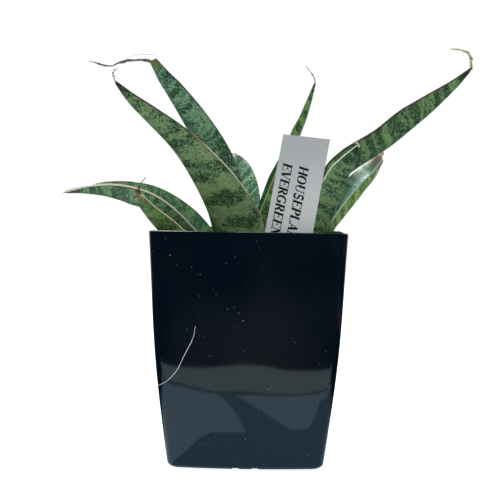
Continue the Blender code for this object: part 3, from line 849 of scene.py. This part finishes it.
    right_back = Leaf(
        "leaf_right_back",
        [(38.5, 9.5, 98, 6), (40.5, 11, 110, 7.5), (42.8, 12, 123.2, 9.4), (47.5, 12, 134.4, 13.6),
         (53.4, 12, 143.6, 15.2), (60.2, 12.4, 152.2, 15), (67.8, 13, 159.3, 12.6), (73.4, 13, 164.6, 7.2)],
        [(-0.9, -0.3, 0.15), (-0.68, -0.36, 0.66), (-0.6, -0.46, 0.64)],
        [(74.6, 13, 166.2), (75.9, 13, 168), (76.5, 13, 169.4)],
        0.58, 0.3, 3.2, plus=Margin.PALE_SHEEN, minus=Margin.RUSTY, glow=0.3, seed=9.0, knots=0.4,
        # Its outer skin's bright yellow-green is partly the leaf's colour and partly painted light, for the
        # glow of light shining through it.
        outer=Skin((188, 220, 142), (194, 224, 138), (96, 144, 76), cover=1.0, spacing=3.6, slant=0.9,
                   stretch=2.6, soft=0.03),
        inner=Skin((118, 172, 140), (126, 180, 140), (50, 104, 80), cover=0.6, spacing=4.0, soft=0.03),
        tip=Tip((182, 158, 136), start=0.92))
    return [(front_left, "white"), (back_left, "grey"), (low_left, "white"), (near_left, "brown"),
            (back, "grey"), (spear, "grey"), (right_long, "cream"), (right_front, "cream"),
            (right_back, "cream")]


# ---------------------------------------------------------------- pot


@dataclass
class Pot:
    """The square pot, in millimetres: a bowed glossy shell that leans in below its waist, on a foot ring."""

    height: float = 124.0
    top_half: float = 50.1
    base_half: float = 40.3
    wall: float = 2.0
    bow: float = 2.0
    corner: float = 3.8
    waist_height: float = 57.0
    waist_half: float = 47.1
    waist_blend: float = 28.0
    base_round: float = 3.0
    rim_round: float = 0.9
    floor_top: float = 5.0
    floor_thick: float = 2.0
    foot_width: float = 4.0
    pad_half: float = 9.0
    drain_radius: float = 4.0
    drain_place: float = 20.0
    notch: tuple[float, float, float] = (3.4, 1.0, 5.1)
    side_steps: int = 14
    corner_steps: int = 8

    def half_at(self, height: float) -> float:
        """Half the outside width between flats, at a height."""
        lower = (self.waist_half - self.base_half) / self.waist_height
        upper = (self.top_half - self.waist_half) / (self.height - self.waist_height)
        if height > self.waist_height + self.waist_blend:
            return self.top_half - upper * (self.height - height)
        half = self.base_half + lower * height
        above = height - (self.waist_height - self.waist_blend)
        if above > 0:
            half += (upper - lower) * above**2 / (4 * self.waist_blend)
        return half

    def front_at(self, x: float, height: float) -> float:
        """The y of the front wall's face."""
        half = self.half_at(height)
        return -half * (1 + self.bow / half * (1 - (x / half) ** 2))

    def outline(self, half: float, corner: float, bow: float) -> list[tuple[float, float]]:
        """Points of a square with round corners and sides that bow outwards."""
        flat = half - corner
        quarter = []
        for step in range(self.side_steps):
            quarter.append((half, -flat + 2 * flat * step / self.side_steps))
        for step in range(self.corner_steps):
            turn = math.pi / 2 * step / self.corner_steps
            quarter.append((flat + corner * math.cos(turn), flat + corner * math.sin(turn)))
        points = []
        for side in range(4):
            c, s = round(math.cos(side * math.pi / 2)), round(math.sin(side * math.pi / 2))
            for x, y in quarter:
                px, py = x * c - y * s, x * s + y * c
                points.append((px * (1 + bow / half * (1 - (py / half) ** 2)),
                               py * (1 + bow / half * (1 - (px / half) ** 2))))
        return points

    def stacked(self, sections: Sequence[tuple[float, float, float, float]]) -> Shape:
        """A closed shell through square sections of half width, height, corner and bow."""
        rings = []
        for half, height, corner, bow in sections:
            rings.append([Vector((x, y, height)) for x, y in self.outline(half, corner, bow)])
        return loft(rings)

    def sections(self) -> list[tuple[float, float, float, float]]:
        """The shell's sections, from the middle of its underside out, up, over the rim and down inside."""
        under = self.floor_top - self.floor_thick
        foot_inner = self.base_half - self.base_round - self.foot_width
        made = [(self.pad_half - 1, 0, 2, 0), (self.pad_half, under, 2, 0),
                (foot_inner - 1, under, self.corner, self.bow), (foot_inner, 0, self.corner, self.bow)]
        for step in range(7):
            turn = math.pi / 2 * step / 6
            height = self.base_round * (1 - math.cos(turn))
            made.append((self.half_at(height) - self.base_round * (1 - math.sin(turn)), height, self.corner,
                         self.bow))
        rise = self.height - self.rim_round
        for step in range(1, 41):
            height = self.base_round + (rise - self.base_round) * step / 40
            made.append((self.half_at(height), height, self.corner, self.bow))
        inner = self.corner - self.wall
        middle = self.top_half - self.wall / 2
        for step in range(1, 9):
            turn = math.pi * step / 8
            half = middle + self.wall / 2 * math.cos(turn)
            corner = self.corner + (inner - self.corner) * step / 8
            made.append((half, rise + self.rim_round * math.sin(turn), corner, self.bow))
        for step in range(1, 25):
            height = rise + (self.floor_top + 2 - rise) * step / 24
            made.append((self.half_at(height) - self.wall, height, inner, self.bow))
        made.append((self.half_at(self.floor_top) - self.wall - 2, self.floor_top, inner, self.bow))
        made.append((self.pad_half, self.floor_top, 2, 0))
        return made

    def base_cutter(self) -> Shape:
        """The drain holes and the notches through the foot ring, as one set of separate solids."""
        bm = bmesh.new()
        for x in (-self.drain_place, self.drain_place):
            for y in (-self.drain_place, self.drain_place):
                made = bmesh.ops.create_cone(bm, cap_ends=True, segments=40, radius1=self.drain_radius,
                                             radius2=self.drain_radius, depth=3 * self.floor_top)
                bmesh.ops.translate(bm, vec=(x, y, self.floor_top), verts=made["verts"])
        width, high, place = self.notch
        for side in range(4):
            turn = Matrix.Rotation(side * math.pi / 2, 4, "Z")
            for x in (-place, place):
                made = bmesh.ops.create_cube(bm, size=1.0)
                bmesh.ops.scale(bm, vec=(width, 3 * self.foot_width, 2 * high), verts=made["verts"])
                bmesh.ops.translate(bm, vec=(x, self.base_half, 0), verts=made["verts"])
                bmesh.ops.transform(bm, matrix=turn, verts=made["verts"])
        return bm

    def finish(self) -> Material:
        """Glossy black-blue plastic with a faint sink in its faces, settled dust and a hint of haze."""
        material, g, shader = new_material("pot_gloss_black")
        place = g.place()
        haze = g.noise(place, 26.0, 3.0, 0.55)
        ground = g.mix(g.step(haze, 0.35, 0.7), paint(3, 18, 30), paint(7, 22, 33))
        dust = g.use("settled_dust", Ground=ground, Place=place, Speck=paint(226, 232, 236), Amount=1.0)
        grain = g.grain(place, 900.0, 0.07, 0.05)
        rough = g.math("MAXIMUM", grain.outputs["Roughness"], g.times(dust.outputs["Mask"], 0.8))
        sink = g.noise(g.scaled(place, (1.0, 1.0, 0.7)), 17.0, 1.0)
        dress(g, shader, dust.outputs["Color"], rough, sink, 0.25, 0.0012, IOR=1.48)
        return material

    def build(self) -> Piece:
        """Makes the pot in place of the CAD pot, with its drain holes cut."""
        material = self.finish()
        pot = finish_piece(self.stacked(self.sections()), "pot_shell", material, sharp=0.6)
        cutter = self.base_cutter()
        bmesh.ops.scale(cutter, vec=(MM, MM, MM), verts=cutter.verts)
        tool = in_scene("base_cutter", to_mesh(cutter, "base_cutter"))
        cut = pot.modifiers.new("drain_holes", "BOOLEAN")
        cut.operation = "DIFFERENCE"
        cut.solver = "EXACT"
        cut.object = tool
        done = bpy.data.meshes.new_from_object(pot.evaluated_get(bpy.context.evaluated_depsgraph_get()))
        pot.modifiers.clear()
        pot.data = done
        done.set_sharp_from_angle(angle=0.6)
        bpy.data.objects.remove(tool)
        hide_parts("pot")
        return pot


@dataclass
class Fibre:
    """A fine loose fibre, in millimetres."""

    name: str
    points: list[Point]
    radius: float = 0.15

    def build(self, material: Material, slot: str) -> Piece:
        """Makes the fibre."""
        steps = 60
        path = smooth_path(self.points, steps)
        radii = [self.radius * (1 - 0.5 * abs(2 * step / steps - 1) ** 3) for step in range(steps + 1)]
        return finish_piece(tube(path, radii, 6), self.name, material)


# ---------------------------------------------------------------- soil and rhizome


@dataclass
class Soil:
    """The potting mix: a root ball with a crumbly top of peat, bark and a little pumice."""

    pot: Pot
    top: float = 112.0
    gap: float = 0.35
    crumbs: int = 1500
    chips: int = 150

    def root_ball(self) -> Shape:
        """The block of soil, with an uneven top."""
        inset = self.pot.wall + self.gap
        corner = self.pot.corner - self.pot.wall
        low = self.pot.floor_top + self.gap
        sections = [(self.pot.half_at(low) - inset - 2.4, low, corner, self.pot.bow)]
        for step in range(12):
            height = low + 2.0 + (self.top - 3.4 - low - 2.0) * step / 11
            sections.append((self.pot.half_at(height) - inset, height, corner, self.pot.bow))
        half = self.pot.half_at(self.top) - inset
        for step in range(20):
            share = step / 19
            inner = half - 0.6 - (half - 2.5) * share
            sections.append((inner, self.top - 1.6 + 0.5 * share, corner * (1 - share) + 0.3,
                             self.pot.bow * (1 - share)))
        bm = self.pot.stacked(sections)
        for vertex in bm.verts:
            if vertex.co.z > self.top - 2.0:
                vertex.co.z += 0.9 * noise.fractal(vertex.co * 0.22, 1.0, 2.0, 4)
        return bm

    def scatter(self, bm: Shape, layer: object) -> None:
        """Strews crumbs of peat and chips of bark and pumice over the top."""
        draw = random.Random(41)
        reach = self.pot.half_at(self.top) - self.pot.wall - 2.2
        for piece in range(self.crumbs + self.chips):
            chip = piece >= self.crumbs
            x, y = draw.uniform(-reach, reach), draw.uniform(-reach, reach)
            size = draw.uniform(1.0, 2.3) if chip else 0.35 + 0.9 * draw.random() ** 2
            flat = draw.uniform(0.35, 0.8)
            height = self.top - 1.1 + 0.9 * noise.fractal(Vector((x, y, self.top - 1.2)) * 0.22, 1.0, 2.0, 4)
            turn = Matrix.Rotation(draw.uniform(0, 6.3), 4, "Z") @ Matrix.Rotation(draw.uniform(-0.6, 0.6),
                                                                                   4, "X")
            shape = Matrix.Diagonal((draw.uniform(0.8, 1.5), draw.uniform(0.6, 1.0), flat, 1.0))
            place = Matrix.Translation((x, y, height + 0.25 * size * flat)) @ turn @ shape
            made = bmesh.ops.create_icosphere(bm, subdivisions=2 if chip else 1, radius=size, matrix=place)
            tone = draw.choice((0.9, 0.55, 0.6, 0.35)) if chip else draw.uniform(0.0, 0.55)
            for vertex in made["verts"]:
                vertex.co += noise.noise_vector(vertex.co * 0.9) * 0.28 * size
                vertex[layer] = Vector((tone, draw.random(), 0.0))

    def finish(self) -> Material:
        """Moist dark peat with brown bark and pale pumice."""
        material, g, shader = new_material("potting_mix")
        place = g.place()
        tone = g.split(g.attribute("tone"))[0]
        mottle = g.noise(place, 900.0, 4.0, 0.65)
        colour = g.mix(g.step(mottle, 0.35, 0.65), paint(26, 18, 12), paint(62, 44, 30))
        colour = g.mix(g.step(tone, 0.3, 0.6), colour, g.mix(mottle, paint(70, 44, 24), paint(132, 92, 56)))
        colour = g.mix(g.step(tone, 0.75, 0.85), colour,
                       g.mix(mottle, paint(150, 140, 122), paint(206, 198, 182)))
        rough = g.grain(place, 1500.0, 0.88, 0.15).outputs["Roughness"]
        dress(g, shader, colour, rough, mottle, 0.8, 0.0006)
        return material

    def build(self) -> list[Piece]:
        """Makes the root ball and what is strewn on it."""
        material = self.finish()
        ball = finish_piece(self.root_ball(), "root_ball", material)
        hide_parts("soil")
        bm = bmesh.new()
        layer = bm.verts.layers.float_vector.new("tone")
        self.scatter(bm, layer)
        strewn = finish_piece(bm, "soil_crumbs", material, sharp=0.5)
        return [ball, strewn]


@dataclass
class Rhizome:
    """The underground stem, ringed by old leaf scars, in millimetres."""

    route: tuple = ((-5, 3, 96.6), (-5, 3, 94), (-4, 3, 90), (2, 3, 86), (12, 1, 85), (23, 0, 86),
                    (30, -1, 90), (32, -1, 94), (32, -1, 96.6))
    radius: float = 4.5
    crown_radius: float = 8.0

    def build(self) -> Piece:
        """Makes the stem in place of the CAD one."""
        material, g, shader = new_material("rhizome_skin")
        run = g.split(g.attribute("along"))[0]
        scars = g.noise(g.vector(g.times(run, 1.2), 0.0, 0.0), 1.0, 1.0)
        stain = g.noise(g.place(), 500.0, 4.0, 0.6)
        colour = g.mix(g.step(stain, 0.4, 0.65), paint(196, 128, 62), paint(150, 92, 44))
        colour = g.mix(g.step(scars, 0.58, 0.64), colour, paint(92, 58, 34))
        rough = g.grain(g.place(), 1200.0, 0.6, 0.2).outputs["Roughness"]
        dress(g, shader, colour, rough, stain, 0.5, 0.0004)
        steps = 90
        path = smooth_path(self.route, steps)
        radii = []
        for step in range(steps + 1):
            share = step / steps
            swelling = abs(2 * share - 1) ** 4
            scar = 0.18 * max(0.0, math.sin(share * 60)) ** 6
            radii.append(self.radius + (self.crown_radius - 0.4 - self.radius) * swelling - 0.2 + scar)
        stem = finish_piece(tube(path, radii, 28), "rhizome_stem", material)
        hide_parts("rhizome")
        return stem


# ---------------------------------------------------------------- label


STEM, HAIR, SERIF = 0.225, 0.08, 0.07


def serifs(*feet: tuple[float, float]) -> list[tuple]:
    """A short crossbar at each stroke end, as straight strokes."""
    return [(x - 0.16, y, x + 0.16, y, SERIF) for x, y in feet]


def upright(x: float, width: float = STEM) -> list[tuple]:
    """A full-height stroke with its two serifs."""
    return [(x, 0.0, x, 1.0, width), *serifs((x, 0.027), (x, 0.973))]


# Each letter's advance, and its strokes on a cap height of 1. A straight one is two ends and a width. A round
# one is a centre, two radii, two angles in degrees and its greatest width, below 0 where that falls at top and
# foot.
LETTERS: dict[str, tuple[float, list[tuple]]] = {
    "A": (0.84, [(0.44, 1.0, 0.12, 0.0, HAIR), (0.42, 1.0, 0.72, 0.0, STEM), (0.22, 0.32, 0.62, 0.32, HAIR),
                 *serifs((0.12, 0.027), (0.72, 0.027))]),
    "E": (0.80, [*upright(0.2), (0.2, 0.97, 0.74, 0.97, HAIR), (0.2, 0.03, 0.78, 0.03, HAIR),
                 (0.2, 0.52, 0.54, 0.52, HAIR), (0.72, 1.0, 0.70, 0.76, 0.07), (0.74, 0.26, 0.77, 0.0, 0.07),
                 (0.54, 0.65, 0.54, 0.39, HAIR)]),
    "G": (0.88, [(0.46, 0.5, 0.35, 0.48, 48.0, 318.0, STEM), (0.72, 0.42, 0.72, 0.07, STEM),
                 *serifs((0.72, 0.42)), (0.70, 1.0, 0.71, 0.74, HAIR)]),
    "H": (0.94, [*upright(0.2), *upright(0.76), (0.2, 0.52, 0.76, 0.52, HAIR)]),
    "L": (0.78, [*upright(0.2), (0.2, 0.03, 0.74, 0.03, HAIR), (0.71, 0.3, 0.74, 0.0, 0.07)]),
    "N": (0.90, [(0.18, 0.0, 0.18, 1.0, HAIR), (0.18, 1.0, 0.74, 0.0, STEM), (0.76, 0.0, 0.76, 1.0, HAIR),
                 *serifs((0.18, 0.027), (0.76, 0.973), (0.14, 0.973))]),
    "O": (0.90, [(0.44, 0.5, 0.34, 0.47, 0.0, 360.0, STEM)]),
    "P": (0.76, [*upright(0.2), (0.38, 0.72, 0.26, 0.25, -90.0, 90.0, STEM), (0.2, 0.97, 0.4, 0.97, HAIR),
                 (0.2, 0.47, 0.4, 0.47, HAIR)]),
    "R": (0.84, [*upright(0.2), (0.38, 0.73, 0.25, 0.24, -90.0, 90.0, STEM), (0.2, 0.97, 0.4, 0.97, HAIR),
                 (0.2, 0.49, 0.4, 0.49, HAIR), (0.42, 0.5, 0.74, 0.0, STEM), *serifs((0.78, 0.027))]),
    "S": (0.72, [(0.37, 0.74, 0.22, 0.23, 35.0, 270.0, -STEM), (0.37, 0.26, 0.24, 0.24, 90.0, -145.0, -STEM),
                 (0.58, 1.0, 0.59, 0.76, HAIR), (0.13, 0.26, 0.13, 0.0, HAIR)]),
    "T": (0.80, [(0.4, 0.0, 0.4, 1.0, STEM), *serifs((0.4, 0.027)), (0.06, 0.97, 0.74, 0.97, HAIR),
                 (0.08, 1.0, 0.06, 0.74, HAIR), (0.72, 1.0, 0.74, 0.74, HAIR)]),
    "U": (0.90, [(0.2, 1.0, 0.2, 0.3, STEM), (0.46, 0.3, 0.26, 0.28, 180.0, 360.0, 0.12),
                 (0.72, 0.3, 0.72, 1.0, HAIR), *serifs((0.2, 0.973), (0.72, 0.973))]),
    "V": (0.84, [(0.14, 1.0, 0.43, 0.0, STEM), (0.45, 0.0, 0.74, 1.0, HAIR),
                 *serifs((0.14, 0.973), (0.74, 0.973))]),
}


@dataclass
class StakeLabel:
    """The printed stake label, in millimetres: a thin plate that stands in the soil on a pointed foot."""

    width: float = 26.0
    length: float = 86.0
    point: float = 16.0
    point_width: float = 5.0
    thickness: float = 0.5
    turn: float = -20.0
    back: float = 9.4
    lean: float = 7.0
    top: tuple[float, float, float] = (29.7, -24.6, 174.0)
    rows: tuple = (("EVERGREEN", -9.8, 15.0), ("HOUSEPLANT", -0.7, 15.6))
    cap_height: float = 5.2
    slope: float = 0.2
    ink_depth: float = 0.04

    def matrix(self) -> Matrix:
        """From the label's own plane, with its top edge's middle at the origin, to its place."""
        lean = Matrix.Rotation(math.radians(self.lean), 4, "Y")
        back = Matrix.Rotation(math.radians(-self.back), 4, "X")
        turn = Matrix.Rotation(math.radians(self.turn), 4, "Z")
        return Matrix.Translation(self.top) @ turn @ back @ lean

    def plate(self) -> Shape:
        """The plate with its foot cut to a point and its edges eased."""
        bm = bmesh.new()
        bmesh.ops.create_cube(bm, size=1.0)
        bmesh.ops.scale(bm, vec=(self.width, self.thickness, self.length), verts=bm.verts)
        bmesh.ops.translate(bm, vec=(0, 0, -self.length / 2), verts=bm.verts)
        shoulder = self.length - self.point
        everything = bm.verts[:] + bm.edges[:] + bm.faces[:]
        bmesh.ops.bisect_plane(bm, geom=everything, dist=1e-5, plane_co=(0, 0, -shoulder), plane_no=(0, 0, 1))
        foot = [vertex for vertex in bm.verts if vertex.co.z < -self.length + 1]
        bmesh.ops.scale(bm, vec=(self.point_width / self.width, 1, 1), verts=foot)
        bmesh.ops.bevel(bm, geom=bm.edges[:], offset=0.09, offset_type="OFFSET", affect="EDGES", segments=2,
                        profile=0.5, material=-1)
        bmesh.ops.transform(bm, matrix=self.matrix(), verts=bm.verts)
        return bm

    def stroke(self, shape: tuple, start: float) -> Shape:
        """One stroke of a letter, as a thin closed bar in the print's own plane.

        Args:
            shape: A stroke as LETTERS gives it.
            start: Where its letter starts along the row, in cap heights.

        Returns:
            The bar, in millimetres.
        """
        if len(shape) == 5:
            x0, y0, x1, y1, width = shape
            run = [(x0, y0, width), (x1, y1, width)]
        else:
            x, y, wide, high, first, last, most = shape
            run = []
            for step in range(17):
                angle = math.radians(first + (last - first) * step / 16)
                swell = abs(math.sin(angle)) if most < 0 else abs(math.cos(angle))
                width = HAIR + (abs(most) - HAIR) * swell
                run.append((x + wide * math.cos(angle), y + high * math.sin(angle), width))
        path = [Vector((start + x + self.slope * y, y, 0.0)) * self.cap_height for x, y, _ in run]
        closed = len(path) > 2 and (path[0] - path[-1]).length < 1e-4
        rings = []
        for i, (centre, (_, _, width)) in enumerate(zip(path, run)):
            before, after = path[max(i - 1, 0)], path[min(i + 1, len(path) - 1)]
            if closed and i in (0, len(path) - 1):
                before, after = path[-2], path[1]
            side = Vector((0, 0, 1)).cross((after - before).normalized()) * width * self.cap_height / 2
            lift = Vector((0, 0, self.ink_depth / 2))
            rings.append([centre + side - lift, centre + side + lift, centre - side + lift,
                          centre - side - lift])
        return loft(rings)

    def lettering(self) -> Shape:
        """Two rows of heavy sloping capitals that read down the label."""
        merged = bmesh.new()
        stand = Matrix.Rotation(math.pi / 2, 4, "X")
        down_turn = Matrix.Rotation(math.pi / 2, 4, "Y")
        for words, baseline, down in self.rows:
            place = Matrix.Translation((baseline, -self.thickness / 2 - self.ink_depth / 3, -down))
            start = 0.0
            for letter in words:
                advance, strokes = LETTERS[letter]
                for shape in strokes:
                    bar = self.stroke(shape, start)
                    bmesh.ops.transform(bar, matrix=self.matrix() @ place @ down_turn @ stand,
                                        verts=bar.verts)
                    take_up(merged, bar)
                start += advance
        return merged

    def finish(self) -> Material:
        """Matte white plastic, a little soiled near its foot, with painted shade that greys it toward its top.
        """
        material, g, shader = new_material("label_white")
        place = g.place()
        soil = g.noise(place, 160.0, 4.0, 0.6)
        height = g.split(place)[2]
        soiled = g.times(g.step(height, 0.122, 0.110), g.step(soil, 0.42, 0.62))
        ground = g.mix(g.step(soil, 0.3, 0.7), paint(244, 247, 249), paint(250, 252, 253))
        # Painted shade: the plate greys from 126 mm up to 172 mm, darker toward its top.
        ground = g.mix(g.step(height, 0.126, 0.172), ground, paint(210, 216, 216))
        dust = g.use("settled_dust", Ground=g.mix(soiled, ground, paint(96, 76, 56)), Place=place,
                     Speck=paint(150, 150, 146), Amount=0.35)
        grain = g.grain(place, 1300.0, 0.46, 0.1)
        dress(g, shader, dust.outputs["Color"], grain.outputs["Roughness"], grain.outputs["Height"], 0.2,
              0.0001)
        return material

    def ink(self) -> Material:
        """Black print, slightly uneven."""
        material, g, shader = new_material("label_ink")
        worn = g.noise(g.place(), 2400.0, 2.0)
        colour = g.mix(g.step(worn, 0.4, 0.75), paint(8, 8, 11), paint(24, 24, 28))
        dress(g, shader, colour, g.grain(g.place(), 1500.0, 0.5, 0.1).outputs["Roughness"])
        return material

    def build(self) -> list[Piece]:
        """Makes the plate and its print."""
        plate = finish_piece(self.plate(), "label_plate", self.finish(), sharp=0.4)
        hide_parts("plant_label")
        print_piece = finish_piece(self.lettering(), "label_print", self.ink(), sharp=0.4)
        return [plate, print_piece]


# ---------------------------------------------------------------- studio


FAR_DARK = (0.006, 0.020, 0.034, 1.0)


@dataclass
class Studio:
    """The pale floor, the soft light and the camera."""

    lens: float = 57.6
    eye: tuple[float, float, float] = (0.0008, -0.450, 0.1365)
    pitch: float = 3.08
    roll: float = 0.9

    def camera(self) -> None:
        """Makes the camera and sets it as the scene's."""
        data = bpy.data.cameras.new("camera")
        data.lens = self.lens
        data.sensor_width = 36.0
        data.clip_start = 0.01
        camera = in_scene("camera", data)
        tilt = Matrix.Rotation(math.radians(90 - self.pitch), 4, "X")
        turn = tilt @ Matrix.Rotation(math.radians(self.roll), 4, "Z")
        camera.matrix_world = Matrix.Translation(self.eye) @ turn
        bpy.context.scene.camera = camera

    def world(self) -> None:
        """A pale surround, brighter behind the plant than in front of it."""
        world = bpy.data.worlds.new("surround")
        bpy.context.scene.world = world
        world.use_nodes = True
        g = Graph(world.node_tree)
        background = world.node_tree.nodes["Background"]
        x, y, z = g.split(g.put("TexCoord").outputs["Generated"])
        behind = g.step(y, -0.35, 0.8)
        above = g.step(z, -0.1, 0.9)
        soft = g.plus(g.blend(behind, 0.07, 1.0), g.times(above, 0.28))
        seen = g.blend(behind, 0.012, 1.5)
        path = g.put("LightPath").outputs
        strength = g.blend(path["Is Glossy Ray"], soft, seen)
        strength = g.blend(path["Is Camera Ray"], strength, 1.06)
        g.feed(background.inputs["Strength"], strength)
        g.feed(background.inputs["Color"], (0.98, 0.99, 1.0, 1.0))

    def floor(self) -> None:
        """A plain pale floor."""
        bm = bmesh.new()
        bmesh.ops.create_circle(bm, cap_ends=True, segments=96, radius=3.0)
        floor = in_scene("floor", to_mesh(bm, "floor"))
        material, g, shader = new_material("floor_pale")
        dress(g, shader, (0.50, 0.51, 0.52, 1.0), 0.9, Specular_IOR_Level=0.1,
              Emission_Color=(1.0, 1.0, 1.0, 1.0))
        g.feed(shader.inputs["Emission Strength"], g.times(g.put("LightPath").outputs["Is Camera Ray"], 0.9))
        floor.data.materials.append(material)

    def card(self, name: str, outline: Sequence[tuple[float, float]], height: float, light: tuple,
             cloud: tuple | None = None) -> None:
        """A studio card on the floor that only reflections see.

        Args:
            name: The card's name.
            outline: Its corners in metres, seen from above.
            height: How far above the floor it lies, in metres.
            light: The colour it gives back.
            cloud: A second colour that drifts softly through the first, or none.
        """
        bm = bmesh.new()
        bm.faces.new([bm.verts.new((x, y, height)) for x, y in outline])
        card = in_scene(name, to_mesh(bm, name))
        material = bpy.data.materials.new(name)
        material.use_nodes = True
        g = Graph(material.node_tree)
        if cloud:
            drift = g.noise(g.scaled(g.place(), (4.0, 1.3, 1.0)), 1.0, 1.0)
            light = g.mix(g.step(drift, 0.49, 0.74), light, cloud)
        else:
            aside = g.math("ABSOLUTE", g.split(g.place())[0])
            light = g.mix(g.step(aside, 0.088, 0.145), light, FAR_DARK)
        glow = g.put("Emission", {"Color": light, "Strength": 1.0})
        output = next(node for node in material.node_tree.nodes if node.type == "OUTPUT_MATERIAL")
        g.feed(output.inputs["Surface"], glow.outputs[0])
        card.data.materials.append(material)
        for ray in ("camera", "diffuse", "transmission", "volume_scatter", "shadow"):
            setattr(card, f"visible_{ray}", False)

    def cards(self) -> None:
        """The bluish near ground, the shadows on it and the dark beyond, for the pot's front to reflect."""
        edge = [(-0.18, -0.177), (-0.086, -0.179), (-0.045, -0.183), (-0.020, -0.190), (-0.007, -0.195),
                (0.015, -0.193), (0.036, -0.182), (0.088, -0.173), (0.18, -0.169)]
        line = [(-0.18, -0.143), (-0.075, -0.141), (-0.056, -0.141), (-0.029, -0.133), (0.003, -0.132),
                (0.035, -0.129), (0.072, -0.130), (0.18, -0.134)]
        thin = [(x, y - 0.0034 - 0.0012 * math.sin(x * 310)) for x, y in line]
        self.card("flag_far", [(-1.2, 0.3), (-1.2, -3.0), (1.2, -3.0), (1.2, 0.3)], 0.0008, FAR_DARK,
                  cloud=(0.17, 0.15, 0.15, 1.0))
        self.card("card_mid", [*line[::-1], *edge], 0.0012, (0.90, 1.12, 1.18, 1.0))
        self.card("card_near", [(0.18, -0.02), (-0.18, -0.02), *line], 0.0010, (0.90, 1.30, 1.62, 1.0))
        self.card("card_line", [*line[::-1], *thin], 0.0014, (0.16, 0.24, 0.28, 1.0))
        dark = (0.38, 0.66, 0.86, 1.0)
        left = [(-0.022, -0.131), (-0.010, -0.109), (-0.005, -0.096), (0.0, -0.080), (0.030, -0.081),
                (0.012, -0.104), (-0.008, -0.131)]
        self.card("shadow_left", left[::-1], 0.0013, dark)
        right = [(0.041, -0.081), (0.052, -0.100), (0.061, -0.117), (0.080, -0.121), (0.12, -0.1),
                 (0.12, 0.0), (-0.045, 0.0), (-0.038, -0.047), (-0.028, -0.072), (-0.022, -0.078),
                 (0.0, -0.080)]
        self.card("shadow_right", right, 0.0013, dark)

    def lights(self) -> None:
        """A broad soft light from behind and above, and a weak fill from the front."""
        for name, place, size, power, tint in (
            ("light_behind", (-0.40, 0.85, 1.15), 0.8, 17.0, (1.0, 0.99, 0.96)),
            ("light_front", (-0.2, -1.3, 0.36), 1.2, 6.0, (0.97, 0.99, 1.0)),
        ):
            data = bpy.data.lights.new(name, "AREA")
            data.shape = "DISK"
            data.size = size
            data.energy = power
            data.color = tint
            data.specular_factor = 1.0 if name == "light_behind" else 0.0
            light = in_scene(name, data)
            light.location = place
            light.rotation_euler = (Vector((0, 0, 0.12)) - Vector(place)).to_track_quat("-Z", "Y").to_euler()
            light.visible_glossy = name == "light_behind"

    def build(self) -> None:
        """Makes the whole studio."""
        view = bpy.context.scene.view_settings
        view.view_transform = "Standard"
        self.camera()
        self.world()
        self.floor()
        self.cards()
        self.lights()


def main() -> None:
    """Builds every piece in order."""
    logging.basicConfig(level=logging.INFO, format="%(name)s: %(message)s")
    for effect in (mottled_skin, margin_line, settled_dust, fine_grain):
        effect()
    Studio().build()
    pot = Pot()
    pieces = [pot.build()]
    pieces += Soil(pot).build()
    pieces.append(Rhizome().build())
    threads = {name: skin.material() for name, skin in THREAD_FINISHES.items()}
    for leaf, thread in plant_leaves():
        pieces += leaf.build(threads[thread])
    pieces += StakeLabel().build()
    on_wall = [(-26.1, 76.1), (-27.3, 70.0), (-32.1, 60.0), (-35.4, 53.1), (-40.3, 47.5), (-45.2, 44.5)]
    wall_fibre = Fibre("fibre_on_pot", [(x, pot.front_at(x, z) - 0.24, z) for x, z in on_wall])
    pieces.append(wall_fibre.build(threads["lint"], "leaf"))
    loop = [(-50.8, -11, 216.9), (-53.2, -11, 218), (-55.7, -11, 218.3), (-59.4, -11, 218.1),
            (-62.2, -11, 217.8),
            (-64.9, -11, 217), (-68.1, -11, 215.6)]
    pieces.append(Fibre("fibre_on_leaf", loop, 0.11).build(threads["grey"], "leaf"))
    for piece in pieces:
        log.info("%s: %d faces", piece.name, len(piece.data.polygons))


if __name__ == "__main__":
    main()
